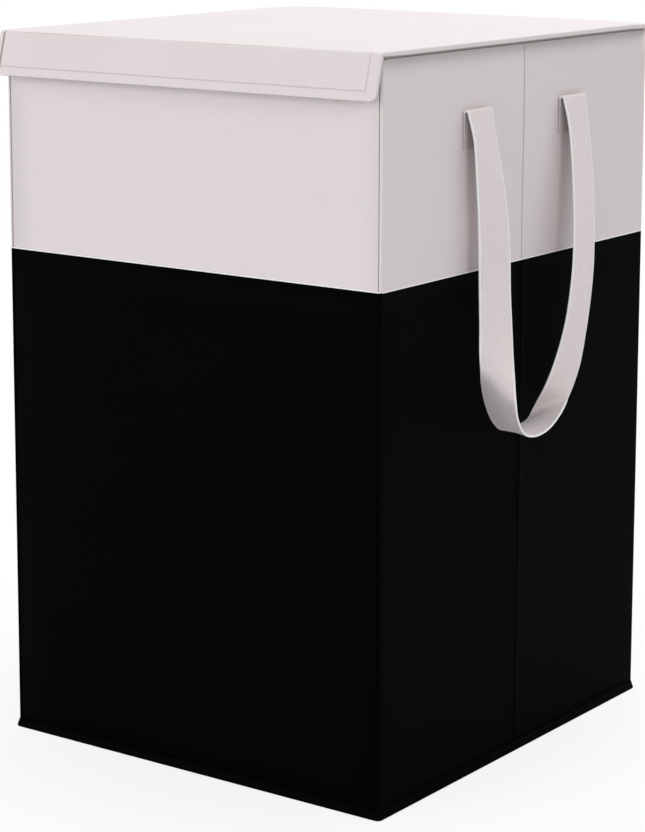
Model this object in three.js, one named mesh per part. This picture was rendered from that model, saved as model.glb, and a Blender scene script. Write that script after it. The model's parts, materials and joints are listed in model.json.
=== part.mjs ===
// Two-bin laundry hamper: a tall lidded box of cloth over stiff boards, split into a front and a rear bin.
// Millimetres, +Z up. The origin is the centre of the underside. The lid's flap hangs on the -Y side,
// the lid hinges on the +Y side, and the carrying handles hang on the +X and -X sides.
import * as THREE from 'three';

// Body
const BODY_W = 405;             // across the flap side
const BODY_D = 432;             // from the flap side to the hinge side
const BODY_H = 640;             // floor to mouth
const PALE_BAND_H = 190;        // pale upper cloth, from the mouth down to its seam with the dark cloth
const BODY_CORNER_R = 6;
const CREASE_WIDTH = 3;         // fold groove down the middle of each side
const CREASE_DEPTH = 0.6;
const CLEAR = 0.3;              // gap between pieces that touch

// Walls, from the outside in
const COVER_T = 1.2;
const WALL_BOARD_T = 3;
const BOARD_CORNER_R = 1;
const BOARD_FOLD_GAP = 6;       // between the two half boards of a side
const LINING_T = 0.8;

// Bottom
const BOTTOM_CLOTH_T = 1;
const BOTTOM_BINDING_H = 7.5;
const BOTTOM_BINDING_T = 2.5;
const BOTTOM_BINDING_LIFT = 0.6;
const BASE_BOARD_T = 4;
const BASE_BOARD_GAP = 1;

// Mouth
const RIM_BINDING_T = 0.8;
const RIM_BINDING_LEG = 14;

// Divider between the bins, held to the sides by hook-and-loop strips
const DIVIDER_BOARD_T = 3;
const DIVIDER_COVER_T = 0.8;
const DIVIDER_DROP = 44;        // its top edge below the mouth
const STRIP_T = 2.4;
const STRIP_W = 24;
const STRIP_TOP_GAP = 56;       // to the divider's top edge
const STRIP_FOOT_Z = 110;

// Liner bags
const BAG_T = 0.8;
const BAG_GAP = 3;              // to the lining and to the divider
const BAG_DROP = 36;            // their top edge below the mouth
const BAG_CORNER_R = 22;
const BAG_FLOOR_ROUND = 14;     // soft edge between floor and wall
const BAG_SLACK = 5;            // how far the cloth draws in half way up to the handles
const BAG_HEM_H = 18;
const BAG_HEM_T = 1.2;
const BAG_HANDLE_T = 1.5;
const BAG_HANDLE_W = 20;
const BAG_HANDLE_SPAN = 120;
const BAG_HANDLE_DROP = 85;
const BAG_HANDLE_CORNER_R = 24;
const BAG_HANDLE_LIP = 5;       // below the top of the bag
const BAG_HANDLE_START = 1.2;   // free end of the loop below its fold line

// Lid
const LID_OVERHANG = 3;         // past the side walls
const LID_FRONT_OVERHANG = 1;
const LID_CORNER_R = 8;
const LID_FRONT_CORNER_R = 2;
const LID_BOARD_T = 3;
const LID_COVER_T = 0.8;
const LID_LINING_T = 0.6;
const LID_EDGE_R = 1.2;
const LID_LINING_INSET = 3;
const HINGE_SETBACK = 1.4;      // the hinge line stands this far behind the lid's back edge
const HINGE_TAPE_T = 0.8;
const HINGE_TAPE_H = 27;
const HINGE_TAPE_INSET = 6;     // from each end of the back wall

// Flap on the lid's front edge
const FLAP_LENGTH = 41;
const FLAP_OVERHANG = 3.5;
const FLAP_FLARE = 15;          // degrees out from the wall
const FLAP_ROOT = 0.4;          // flap's upper edge below its fold line
const FLAP_CORNER_R = 7;
const FLAP_BOARD_T = 1.4;
const FLAP_COVER_T = 0.8;
const FLAP_LINING_T = 0.6;
const FLAP_EDGE_R = 1.2;
const FLAP_LINING_INSET = 3;

// Carrying handles: one band a side, each end sewn flat to the wall and folded over outwards
const HANDLE_W = 38;
const HANDLE_T = 1.8;
const HANDLE_FOLD_DROP = 52.5;  // the folds below the mouth
const HANDLE_FRONT_Y = -79;
const HANDLE_REAR_Y = 77;
const HANDLE_SPAN = HANDLE_REAR_Y - HANDLE_FRONT_Y;
const HANDLE_DROP = 285;        // fold to the lowest point of the loop
const HANDLE_STANDOFF = 24;     // wall to the middle of the hanging band
const HANDLE_FOLD_R = 2.1;
const HANDLE_START_DROP = 1.7;  // the loop starts just below its fold
const PATCH_H = 31.5;           // sewn end below the fold
const HANDLE_STEPS = 80;
// The band's middle line from the front end to the rear end, as shares of the standoff, of the span
// from the front leg, and of the drop, then the way from the band's front edge to its rear edge, as
// shares of a step out from the wall, towards the rear, and down. The band faces out on the front
// leg, turns its width out from the wall at the bottom, and shows its inner face on the rear leg.
const HANDLE_ROUTE_SHARES = [
  [0.28, 0, 0.032, 0, 1, 0],
  [0.46, 0, 0.116, 0, 1, 0],
  [0.7, 0.02, 0.274, 0.09, 1, -0.03],
  [0.78, 0.03, 0.474, 0.2, 0.98, -0.03],
  [0.84, 0.03, 0.632, 0.26, 0.97, 0.01],
  [0.99, 0.02, 0.747, 0.27, 0.96, 0.11],
  [1.11, 0.01, 0.821, 0.46, 0.85, 0.28],
  [1.13, 0.03, 0.884, 0.81, 0.41, 0.41],
  [1.07, 0.09, 0.942, 0.94, 0.04, 0.34],
  [1.04, 0.2, 0.979, 0.99, -0.01, 0.13],
  [1.06, 0.33, 0.989, 0.99, 0.04, -0.15],
  [1.08, 0.47, 0.989, 0.98, 0.18, -0.13],
  [1.08, 0.52, 0.989, 0.94, 0.33, 0.05],
  [1.01, 0.61, 0.963, 0.57, 0.68, 0.46],
  [0.89, 0.68, 0.905, 0.12, 0.81, 0.58],
  [0.92, 0.75, 0.842, 0.04, 0.86, 0.51],
  [1, 0.87, 0.684, 0.03, 0.95, 0.31],
  [0.9, 0.95, 0.495, -0.01, 0.99, 0.15],
  [0.66, 0.98, 0.284, 0, 1, 0.07],
  [0.38, 1, 0.126, 0, 1, 0.03],
];

// Rounding
const CORNER_STEPS = 4;
const BAG_CORNER_STEPS = 6;
const EDGE_STEPS = 3;
const SOFT_STEPS = 4;
const WALL_STEPS = 6;
const MIN_R = 0.3;
const AXES = 3;

// Places worked out from the sizes
const HALF_W = BODY_W / 2;
const HALF_D = BODY_D / 2;
const FOOT_Z = BOTTOM_CLOTH_T + CLEAR;
const COLOUR_LINE_Z = BODY_H - PALE_BAND_H;
const DIVIDER_TOP_Z = BODY_H - DIVIDER_DROP;
const STRIP_LENGTH = DIVIDER_TOP_Z - STRIP_TOP_GAP - STRIP_FOOT_Z;
const BAG_TOP_Z = BODY_H - BAG_DROP;
const HANDLE_FOLD_Z = BODY_H - HANDLE_FOLD_DROP;
const WALL_TOP_Z = BODY_H - RIM_BINDING_T - CLEAR;
const BOARD_INSET = COVER_T + CLEAR;
const LINING_INSET = BOARD_INSET + WALL_BOARD_T + CLEAR;
const INSIDE_INSET = LINING_INSET + LINING_T;
const FLOOR_Z = FOOT_Z + BASE_BOARD_T;
const DIVIDER_HALF_T = DIVIDER_BOARD_T / 2 + CLEAR + DIVIDER_COVER_T;
const DIVIDER_HALF_W = HALF_W - INSIDE_INSET - CLEAR - STRIP_T - CLEAR;
const LID_UNDERSIDE_Z = BODY_H + CLEAR;
const LID_BOARD_Z = LID_UNDERSIDE_Z + LID_LINING_T + CLEAR;
const LID_TOP_Z = LID_BOARD_Z + LID_BOARD_T + CLEAR + LID_COVER_T;
const HINGE_Y = HALF_D + CLEAR + HINGE_TAPE_T + CLEAR;
const FLAP_T = FLAP_LINING_T + CLEAR + FLAP_BOARD_T + CLEAR + FLAP_COVER_T;
const HANDLE_AXIS_OUT = CLEAR + HANDLE_FOLD_R;
const HANDLE_START_OUT = HANDLE_AXIS_OUT + HANDLE_FOLD_R + CLEAR + HANDLE_T / 2;

const material = (color, roughness) => new THREE.MeshStandardMaterial({ color, roughness, metalness: 0 });
const paleCloth = material(0xd2c8c7, 0.85);
const paleWebbing = material(0xcbc1c0, 0.8);
const darkCloth = material(0x0b0b0d, 0.75);
const innerCloth = material(0xb9b2b0, 0.9);
const bagCloth = material(0xd8d3cf, 0.9);
const greyBoard = material(0x8b7a66, 0.95);
const hookAndLoop = material(0x2a2a2c, 0.95);

// A plan is a rectangle with a radius at each corner, anticlockwise from the corner at x1, y0.
const plan = (x0, x1, y0, y1, ...radii) => ({
  x0, x1, y0, y1,
  radii: radii.length > 1 ? radii : Array(4).fill(radii[0]),
});

// The same plan drawn in by a distance, with its corners kept round
const inset = (p, by) => plan(
  p.x0 + by, p.x1 - by, p.y0 + by, p.y1 - by,
  ...p.radii.map((r) => Math.max(r - by, MIN_R)),
);

// One ring of points round a plan at height z, with a fold groove in both sides where one is asked for
function ringOf(p, z, steps = CORNER_STEPS, groove = null) {
  const corners = [
    [p.x1, p.y0, -1, 1, -Math.PI / 2],
    [p.x1, p.y1, -1, -1, 0],
    [p.x0, p.y1, 1, -1, Math.PI / 2],
    [p.x0, p.y0, 1, 1, Math.PI],
  ];
  const points = [];
  const addGroove = (x, inward, upward) => {
    const half = CREASE_WIDTH / 2;
    points.push(new THREE.Vector3(x, -upward * half, z));
    points.push(new THREE.Vector3(x + inward * groove, 0, z));
    points.push(new THREE.Vector3(x, upward * half, z));
  };
  corners.forEach(([x, y, sx, sy, from], corner) => {
    const r = p.radii[corner];
    for (let i = 0; i <= steps; i += 1) {
      const a = from + (Math.PI / 2) * (i / steps);
      points.push(new THREE.Vector3(x + sx * r + r * Math.cos(a), y + sy * r + r * Math.sin(a), z));
    }
    if (groove !== null && corner === 0) addGroove(p.x1, -1, 1);
    if (groove !== null && corner === 2) addGroove(p.x0, 1, -1);
  });
  return points;
}

// Skin over a row of rings: capped at both ends, or run round to the first ring again
function skin(rings, endless = false) {
  const count = rings[0].length;
  const at = (ring, i) => (ring % rings.length) * count + (i % count);
  const index = [];
  const spans = endless ? rings.length : rings.length - 1;
  for (let ring = 0; ring < spans; ring += 1) {
    for (let i = 0; i < count; i += 1) {
      index.push(at(ring, i), at(ring, i + 1), at(ring + 1, i + 1));
      index.push(at(ring, i), at(ring + 1, i + 1), at(ring + 1, i));
    }
  }
  if (!endless) {
    const last = rings.length - 1;
    for (let i = 1; i < count - 1; i += 1) {
      index.push(at(0, 0), at(0, i + 1), at(0, i));
      index.push(at(last, 0), at(last, i), at(last, i + 1));
    }
  }
  const geometry = new THREE.BufferGeometry();
  geometry.setAttribute('position', new THREE.Float32BufferAttribute(
    rings.flat().flatMap((point) => point.toArray()),
    AXES,
  ));
  geometry.setIndex(index);
  geometry.computeVertexNormals();
  return geometry;
}

function named(name, geometry, look) {
  const mesh = new THREE.Mesh(geometry, look);
  mesh.name = name;
  return mesh;
}

// Flat piece with upright edges
const slab = (p, z0, z1) => skin([ringOf(p, z0), ringOf(p, z1)]);

// Band that runs round a plan: its section is a list of [inset, z, groove depth]
const band = (p, section, steps = CORNER_STEPS) => skin(
  section.map(([by, z, groove]) => ringOf(inset(p, by), z, steps, groove ?? null)),
  true,
);

// Cloth drawn over a board: a shallow cap, open below, with a rounded outer edge
function capOver(p, zRim, zTop, wall, edgeR) {
  const rings = [ringOf(inset(p, wall), zTop - wall), ringOf(inset(p, wall), zRim), ringOf(p, zRim)];
  for (let i = 0; i <= EDGE_STEPS; i += 1) {
    const a = (Math.PI / 2) * (i / EDGE_STEPS);
    const by = edgeR * (1 - Math.cos(a));
    rings.push(ringOf(inset(p, by), zTop - edgeR + edgeR * Math.sin(a)));
  }
  return skin(rings);
}

const bodyPlan = plan(-HALF_W, HALF_W, -HALF_D, HALF_D, BODY_CORNER_R);

// Outer cover, lining and the bindings at both ends of the walls
function makeSkins() {
  const tube = (z0, z1, outer, wall, groove) => band(bodyPlan, [
    [outer, z0, groove],
    [outer, z1, groove],
    [outer + wall, z1, 0],
    [outer + wall, z0, 0],
  ]);
  const rimInner = INSIDE_INSET + CLEAR;
  const rimBinding = band(bodyPlan, [
    [0, WALL_TOP_Z + CLEAR],
    [0, BODY_H],
    [rimInner + RIM_BINDING_T, BODY_H],
    [rimInner + RIM_BINDING_T, BODY_H - RIM_BINDING_LEG],
    [rimInner, BODY_H - RIM_BINDING_LEG],
    [rimInner, WALL_TOP_Z + CLEAR],
  ]);
  const bindingFoot = BOTTOM_BINDING_LIFT;
  const bindingTop = bindingFoot + BOTTOM_BINDING_H;
  const bindingRound = BOTTOM_BINDING_T / 2;
  const bindingOut = CLEAR + BOTTOM_BINDING_T;
  const bottomBinding = band(bodyPlan, [
    [-CLEAR, bindingFoot],
    [bindingRound - bindingOut, bindingFoot],
    [-bindingOut, bindingFoot + bindingRound],
    [-bindingOut, bindingTop - bindingRound],
    [bindingRound - bindingOut, bindingTop],
    [-CLEAR, bindingTop],
  ]);
  return [
    named('lower_cover', tube(FOOT_Z, COLOUR_LINE_Z - CLEAR, 0, COVER_T, CREASE_DEPTH), darkCloth),
    named('upper_cover', tube(COLOUR_LINE_Z, WALL_TOP_Z, 0, COVER_T, CREASE_DEPTH), paleCloth),
    named('lining', tube(FOOT_Z, WALL_TOP_Z, LINING_INSET, LINING_T, 0), innerCloth),
    named('rim_binding', rimBinding, paleCloth),
    named('bottom_cloth', slab(bodyPlan, 0, BOTTOM_CLOTH_T), darkCloth),
    named('bottom_binding', bottomBinding, darkCloth),
  ];
}

// Stiff boards in the walls: one in the front, one in the back and two in each side, so that the
// sides can fold inwards at their crease once the base board is lifted out
function makeWallBoards() {
  const sideX = HALF_W - BOARD_INSET;
  const endY = HALF_D - BOARD_INSET;
  const endHalfW = HALF_W - BODY_CORNER_R;
  const sideEndY = HALF_D - BODY_CORNER_R;
  const foldY = BOARD_FOLD_GAP / 2;
  const board = (name, x0, x1, y0, y1) => named(
    name,
    slab(plan(x0, x1, y0, y1, BOARD_CORNER_R), FOOT_Z, WALL_TOP_Z),
    greyBoard,
  );
  const boards = [
    board('front_board', -endHalfW, endHalfW, -endY, -endY + WALL_BOARD_T),
    board('back_board', -endHalfW, endHalfW, endY - WALL_BOARD_T, endY),
  ];
  for (const [side, x0] of [['right', sideX - WALL_BOARD_T], ['left', -sideX]]) {
    boards.push(board(`${side}_front_board`, x0, x0 + WALL_BOARD_T, -sideEndY, -foldY));
    boards.push(board(`${side}_rear_board`, x0, x0 + WALL_BOARD_T, foldY, sideEndY));
  }
  return boards;
}

// Loose base board, and the divider that stands on it between the two creases
function makeInside() {
  const basePlan = inset(bodyPlan, INSIDE_INSET + BASE_BOARD_GAP);
  const outer = plan(
    -DIVIDER_HALF_W, DIVIDER_HALF_W, -DIVIDER_HALF_T, DIVIDER_HALF_T,
    DIVIDER_COVER_T,
  );
  const standZ = FLOOR_Z + CLEAR;
  const stripX = DIVIDER_HALF_W + CLEAR + STRIP_T / 2;
  const pieces = [
    named('base_board', slab(basePlan, FOOT_Z, FLOOR_Z), innerCloth),
    named(
      'divider_board',
      slab(inset(outer, DIVIDER_COVER_T + CLEAR), standZ, DIVIDER_TOP_Z - DIVIDER_COVER_T - CLEAR),
      greyBoard,
    ),
    named('divider_cover', capOver(outer, standZ, DIVIDER_TOP_Z, DIVIDER_COVER_T, DIVIDER_COVER_T), innerCloth),
  ];
  for (const [side, sign] of [['right', 1], ['left', -1]]) {
    const strip = named(
      `divider_strip_${side}`,
      new THREE.BoxGeometry(STRIP_T, STRIP_W, STRIP_LENGTH),
      hookAndLoop,
    );
    strip.position.set(sign * stripX, 0, STRIP_FOOT_Z + STRIP_LENGTH / 2);
    pieces.push(strip);
  }
  return pieces;
}

// One liner bag with its hem and its two flat webbing handles, which hang inside it
function makeBag(which, sign) {
  const nearY = DIVIDER_HALF_T + BAG_GAP;
  const farY = HALF_D - INSIDE_INSET - BAG_GAP;
  const halfW = HALF_W - INSIDE_INSET - BAG_GAP;
  const [y0, y1] = sign < 0 ? [-farY, -nearY] : [nearY, farY];
  const bagPlan = plan(-halfW, halfW, y0, y1, BAG_CORNER_R);
  const footZ = FLOOR_Z + CLEAR;
  const wall = (by, z) => ringOf(inset(bagPlan, by), z, BAG_CORNER_STEPS);
  const slackAt = (share) => BAG_SLACK * Math.sin(Math.PI * share) ** 2;
  const roundOff = (radius, by, z) => {
    const rings = [];
    for (let i = 0; i <= SOFT_STEPS; i += 1) {
      const a = (Math.PI / 2) * (i / SOFT_STEPS);
      rings.push(wall(by + radius * (1 - Math.sin(a)), z + radius * (1 - Math.cos(a))));
    }
    return rings;
  };
  const upright = (by) => {
    const rings = [];
    const start = footZ + BAG_FLOOR_ROUND;
    const height = BAG_TOP_Z - BAG_HANDLE_LIP - BAG_HANDLE_DROP - start;
    for (let i = 1; i <= WALL_STEPS; i += 1) {
      const share = i / WALL_STEPS;
      rings.push(wall(by + slackAt(share), start + height * share));
    }
    rings.push(wall(by, BAG_TOP_Z));
    return rings;
  };
  const innerRound = BAG_FLOOR_ROUND - BAG_T;
  const shell = skin([
    ...roundOff(BAG_FLOOR_ROUND, 0, footZ),
    ...upright(0),
    ...upright(BAG_T).reverse(),
    ...roundOff(innerRound, BAG_T, footZ + BAG_T).reverse(),
  ]);
  const hemOut = BAG_HEM_T + CLEAR;
  const hem = band(bagPlan, [
    [-hemOut, BAG_TOP_Z - BAG_HEM_H],
    [-hemOut, BAG_TOP_Z],
    [-CLEAR, BAG_TOP_Z],
    [-CLEAR, BAG_TOP_Z - BAG_HEM_H],
  ], BAG_CORNER_STEPS);
  const pieces = [named(`${which}_bag`, shell, bagCloth), named(`${which}_bag_hem`, hem, innerCloth)];
  for (const [wallName, wallY, inward] of [['front', y0, 1], ['rear', y1, -1]]) {
    const handle = named(`${which}_bag_handle_${wallName}`, flatLoop(), innerCloth);
    const middle = BAG_T + CLEAR + BAG_HANDLE_T / 2;
    handle.position.set(0, wallY + inward * middle, BAG_TOP_Z - BAG_HANDLE_LIP);
    pieces.push(handle);
  }
  return pieces;
}

// Flat webbing loop that hangs from its two ends, in the XZ plane
function flatLoop() {
  const half = BAG_HANDLE_SPAN / 2;
  const inner = half - BAG_HANDLE_W;
  const innerR = BAG_HANDLE_CORNER_R - BAG_HANDLE_W / 2;
  const foot = -BAG_HANDLE_DROP;
  const innerFoot = foot + BAG_HANDLE_W;
  const loop = new THREE.Shape();
  loop.moveTo(-half, -BAG_HANDLE_START);
  loop.lineTo(-half, foot + BAG_HANDLE_CORNER_R);
  loop.absarc(-half + BAG_HANDLE_CORNER_R, foot + BAG_HANDLE_CORNER_R, BAG_HANDLE_CORNER_R,
    Math.PI, Math.PI * 1.5, false);
  loop.lineTo(half - BAG_HANDLE_CORNER_R, foot);
  loop.absarc(half - BAG_HANDLE_CORNER_R, foot + BAG_HANDLE_CORNER_R, BAG_HANDLE_CORNER_R,
    Math.PI * 1.5, Math.PI * 2, false);
  loop.lineTo(half, -BAG_HANDLE_START);
  loop.lineTo(inner, -BAG_HANDLE_START);
  loop.lineTo(inner, innerFoot + innerR);
  loop.absarc(inner - innerR, innerFoot + innerR, innerR, 0, -Math.PI / 2, true);
  loop.lineTo(-inner + innerR, innerFoot);
  loop.absarc(-inner + innerR, innerFoot + innerR, innerR, -Math.PI / 2, -Math.PI, true);
  loop.lineTo(-inner, -BAG_HANDLE_START);
  const geometry = new THREE.ExtrudeGeometry(loop, {
    depth: BAG_HANDLE_T,
    bevelEnabled: false,
    curveSegments: CORNER_STEPS,
  });
  geometry.translate(0, 0, -BAG_HANDLE_T / 2);
  geometry.rotateX(Math.PI / 2);
  return geometry;
}

// Lid: a board in a cloth cover, lined below, and the cloth hinge sewn to the back wall
function makeLid() {
  const backY = HINGE_Y - HINGE_SETBACK;
  const lidPlan = plan(
    -HALF_W - LID_OVERHANG, HALF_W + LID_OVERHANG, -HALF_D - LID_FRONT_OVERHANG, backY,
    LID_FRONT_CORNER_R, LID_CORNER_R, LID_CORNER_R, LID_FRONT_CORNER_R,
  );
  const inside = inset(lidPlan, LID_COVER_T + CLEAR);
  const rimZ = LID_UNDERSIDE_Z + CLEAR;
  const tapePlan = plan(
    -HALF_W + HINGE_TAPE_INSET, HALF_W - HINGE_TAPE_INSET, HALF_D + CLEAR, HALF_D + CLEAR + HINGE_TAPE_T,
    MIN_R,
  );
  const tapeTop = LID_TOP_Z - CLEAR;
  return [
    named('lid_board', slab(inside, LID_BOARD_Z, LID_BOARD_Z + LID_BOARD_T), greyBoard),
    named('lid_cover', capOver(lidPlan, rimZ, LID_TOP_Z, LID_COVER_T, LID_EDGE_R), paleCloth),
    named(
      'lid_lining',
      slab(inset(lidPlan, LID_LINING_INSET), LID_UNDERSIDE_Z, LID_UNDERSIDE_Z + LID_LINING_T),
      innerCloth,
    ),
    named('lid_hinge_tape', slab(tapePlan, tapeTop - HINGE_TAPE_H, tapeTop), paleCloth),
  ];
}

// Flap: a thin board in cloth that hangs from the lid's front edge, drawn flat and then turned down
function makeFlap() {
  const halfW = HALF_W + FLAP_OVERHANG;
  const flapPlan = plan(
    -halfW, halfW, -FLAP_LENGTH, -FLAP_ROOT,
    FLAP_CORNER_R, MIN_R, MIN_R, FLAP_CORNER_R,
  );
  const inside = inset(flapPlan, FLAP_COVER_T + CLEAR);
  const lining = CLEAR + FLAP_LINING_T;
  const boardFrom = lining + CLEAR;
  const pieces = [
    named('flap_board', slab(inside, boardFrom, boardFrom + FLAP_BOARD_T), greyBoard),
    named(
      'flap_cover',
      capOver(flapPlan, CLEAR, CLEAR + FLAP_T, FLAP_COVER_T, FLAP_EDGE_R),
      paleCloth,
    ),
    named('flap_lining', slab(inset(flapPlan, FLAP_LINING_INSET), CLEAR, lining), innerCloth),
  ];
  const flap = new THREE.Group();
  for (const piece of pieces) {
    piece.geometry.rotateX(Math.PI / 2);
    flap.add(piece);
  }
  flap.rotation.x = -THREE.MathUtils.degToRad(FLAP_FLARE);
  flap.position.set(0, -HALF_D - LID_FRONT_OVERHANG, LID_TOP_Z);
  return flap;
}

// The hanging loop of one handle, on the +X side: a flat band that turns half round on its way, so
// that it lies flat at the bottom and shows its inner face on the rear leg
function handleLoop() {
  const at = (out, along, down) => new THREE.Vector3(
    HALF_W + out,
    HANDLE_FRONT_Y + HANDLE_SPAN * along,
    HANDLE_FOLD_Z - down,
  );
  const places = HANDLE_ROUTE_SHARES.map(([out, along, down]) => (
    at(HANDLE_STANDOFF * out, along, HANDLE_DROP * down)
  ));
  places.unshift(at(HANDLE_START_OUT, 0, HANDLE_START_DROP));
  places.push(at(HANDLE_START_OUT, 1, HANDLE_START_DROP));
  const level = new THREE.Vector3(0, 1, 0);
  const facings = HANDLE_ROUTE_SHARES.map((row) => new THREE.Vector3(row[3], row[4], -row[5]));
  const route = new THREE.CatmullRomCurve3(places, false, 'centripetal');
  const facing = new THREE.CatmullRomCurve3([level, ...facings, level], false, 'catmullrom');
  const rings = [];
  for (let i = 0; i <= HANDLE_STEPS; i += 1) {
    const share = i / HANDLE_STEPS;
    const middle = route.getPoint(share);
    const along = route.getTangent(share);
    const wide = facing.getPoint(share);
    wide.addScaledVector(along, -wide.dot(along)).normalize();
    const thick = new THREE.Vector3().crossVectors(along, wide);
    const corner = (w, t) => middle.clone()
      .addScaledVector(wide, w * HANDLE_W / 2)
      .addScaledVector(thick, t * HANDLE_T / 2);
    rings.push([corner(-1, -1), corner(1, -1), corner(1, 1), corner(-1, 1)]);
  }
  return skin(rings);
}

// Sewn end of a handle: a patch flat on the wall with the fold rolled over its top
function handlePatch() {
  const section = new THREE.Shape();
  section.moveTo(CLEAR, -PATCH_H);
  section.lineTo(CLEAR, 0);
  section.absarc(HANDLE_AXIS_OUT, 0, HANDLE_FOLD_R, Math.PI, -Math.PI / 4, true);
  section.lineTo(CLEAR + HANDLE_T, -HANDLE_FOLD_R);
  section.lineTo(CLEAR + HANDLE_T, -PATCH_H);
  const geometry = new THREE.ExtrudeGeometry(section, {
    depth: HANDLE_W,
    bevelEnabled: false,
    curveSegments: CORNER_STEPS * 2,
  });
  geometry.translate(0, 0, -HANDLE_W / 2);
  geometry.rotateX(Math.PI / 2);
  return geometry;
}

// The left handle is the mirror image of the right one
function mirrored(geometry) {
  const copy = geometry.clone();
  copy.scale(-1, 1, 1);
  if (copy.index) {
    const order = copy.index.array;
    for (let i = 0; i < order.length; i += AXES) {
      [order[i + 1], order[i + 2]] = [order[i + 2], order[i + 1]];
    }
  } else {
    const places = copy.attributes.position;
    for (let i = 0; i < places.count; i += AXES) {
      const second = new THREE.Vector3().fromBufferAttribute(places, i + 1);
      const third = new THREE.Vector3().fromBufferAttribute(places, i + 2);
      places.setXYZ(i + 1, ...third.toArray());
      places.setXYZ(i + 2, ...second.toArray());
    }
  }
  copy.computeVertexNormals();
  return copy;
}

function makeHandles() {
  const loop = handleLoop();
  const patch = handlePatch();
  const pieces = [];
  for (const [side, sign] of [['right', 1], ['left', -1]]) {
    const shaped = (geometry) => (sign > 0 ? geometry : mirrored(geometry));
    pieces.push(named(`handle_${side}`, shaped(loop), paleWebbing));
    for (const [end, y] of [['front', HANDLE_FRONT_Y], ['rear', HANDLE_REAR_Y]]) {
      const sewn = named(`handle_${side}_${end}_patch`, shaped(patch), paleWebbing);
      sewn.position.set(sign * HALF_W, y, HANDLE_FOLD_Z);
      pieces.push(sewn);
    }
  }
  return pieces;
}

const hamper = new THREE.Group();
hamper.add(
  ...makeSkins(),
  ...makeWallBoards(),
  ...makeInside(),
  ...makeBag('front', -1),
  ...makeBag('rear', 1),
  ...makeLid(),
  makeFlap(),
  ...makeHandles(),
);

export default hamper;
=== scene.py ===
# Laundry hamper with two bins: the finished cloth, webbing, boards and stitching, built round its frame.
import json
import math

import bmesh
import bpy
from bpy.props import FloatProperty, FloatVectorProperty, PointerProperty
from mathutils import Matrix, Vector, noise
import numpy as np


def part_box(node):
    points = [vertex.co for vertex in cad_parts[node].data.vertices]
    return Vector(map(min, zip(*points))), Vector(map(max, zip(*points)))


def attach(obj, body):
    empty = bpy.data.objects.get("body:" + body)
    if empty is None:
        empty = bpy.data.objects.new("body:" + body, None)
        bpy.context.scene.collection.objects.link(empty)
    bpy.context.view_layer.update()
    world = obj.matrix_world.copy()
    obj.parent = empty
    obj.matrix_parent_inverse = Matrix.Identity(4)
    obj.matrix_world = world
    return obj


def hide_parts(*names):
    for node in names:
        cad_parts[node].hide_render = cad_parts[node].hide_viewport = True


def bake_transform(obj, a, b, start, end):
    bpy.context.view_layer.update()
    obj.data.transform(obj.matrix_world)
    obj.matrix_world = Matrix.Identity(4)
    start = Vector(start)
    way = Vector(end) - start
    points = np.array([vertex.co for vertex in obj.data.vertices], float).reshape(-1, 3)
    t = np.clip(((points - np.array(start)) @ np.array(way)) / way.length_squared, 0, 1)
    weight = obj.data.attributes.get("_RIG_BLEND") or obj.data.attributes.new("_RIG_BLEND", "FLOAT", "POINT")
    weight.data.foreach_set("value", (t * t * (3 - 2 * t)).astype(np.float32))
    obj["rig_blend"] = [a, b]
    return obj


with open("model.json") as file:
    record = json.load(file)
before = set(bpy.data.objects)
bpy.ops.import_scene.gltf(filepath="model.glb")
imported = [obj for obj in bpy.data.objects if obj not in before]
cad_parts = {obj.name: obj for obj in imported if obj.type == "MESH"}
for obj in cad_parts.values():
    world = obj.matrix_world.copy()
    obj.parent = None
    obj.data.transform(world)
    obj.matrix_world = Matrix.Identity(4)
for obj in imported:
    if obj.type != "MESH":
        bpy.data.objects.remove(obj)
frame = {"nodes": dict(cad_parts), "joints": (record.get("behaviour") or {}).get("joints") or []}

bl_info = {
    "name": "Two-bin laundry hamper",
    "version": (1, 0, 0),
    "blender": (4, 5, 0),
    "location": "View3D > Sidebar > Hamper",
    "description": "Builds the cloth, webbing, boards and stitching of a lidded laundry hamper",
    "category": "Object",
}

MM = 0.001
X_AXIS, Y_AXIS, Z_AXIS = 0, 1, 2
BODY, LID, FLAP = "hamper_body", "lid", "flap"
SIDES = (("right", 1), ("left", -1))
BINS = ("front", "rear")
CLOTH_UV = "cloth"
# Vertex attribute of painted shade: its share darkens the cloth in folds, sewn lines and turned edges, and the
# webbing on its sewn ends
PAINTED_SHADE_ATTRIBUTE = "fold"
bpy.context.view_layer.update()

# Places read from the frame
LOWER_FOOT_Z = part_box("lower_cover")[0].z
UPPER_LOW, UPPER_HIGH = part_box("upper_cover")
LINING_LOW, LINING_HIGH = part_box("lining")
RIM_LOW, RIM_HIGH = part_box("rim_binding")
LID_LOW, LID_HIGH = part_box("lid_cover")
JOINTS = {joint["name"]: joint for joint in frame["joints"]}
FLAP_FOLD_Y = JOINTS["flap_fold"]["pos_m"][Y_AXIS]
SEAM_Z = UPPER_LOW.z
HALF_W = UPPER_HIGH.x
HALF_D = UPPER_HIGH.y
LID_TOP_Z = LID_HIGH.z


# Mesh helpers

MERGE_DISTANCE = 0.005 * MM
CUT_DISTANCE = 0.01 * MM
# Edges that turn by more degrees than this stay sharp: on small hard pieces, on bound edges and on cloth
HARD_SHARP, BOUND_SHARP, CLOTH_SHARP = 35, 50, 60


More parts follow.
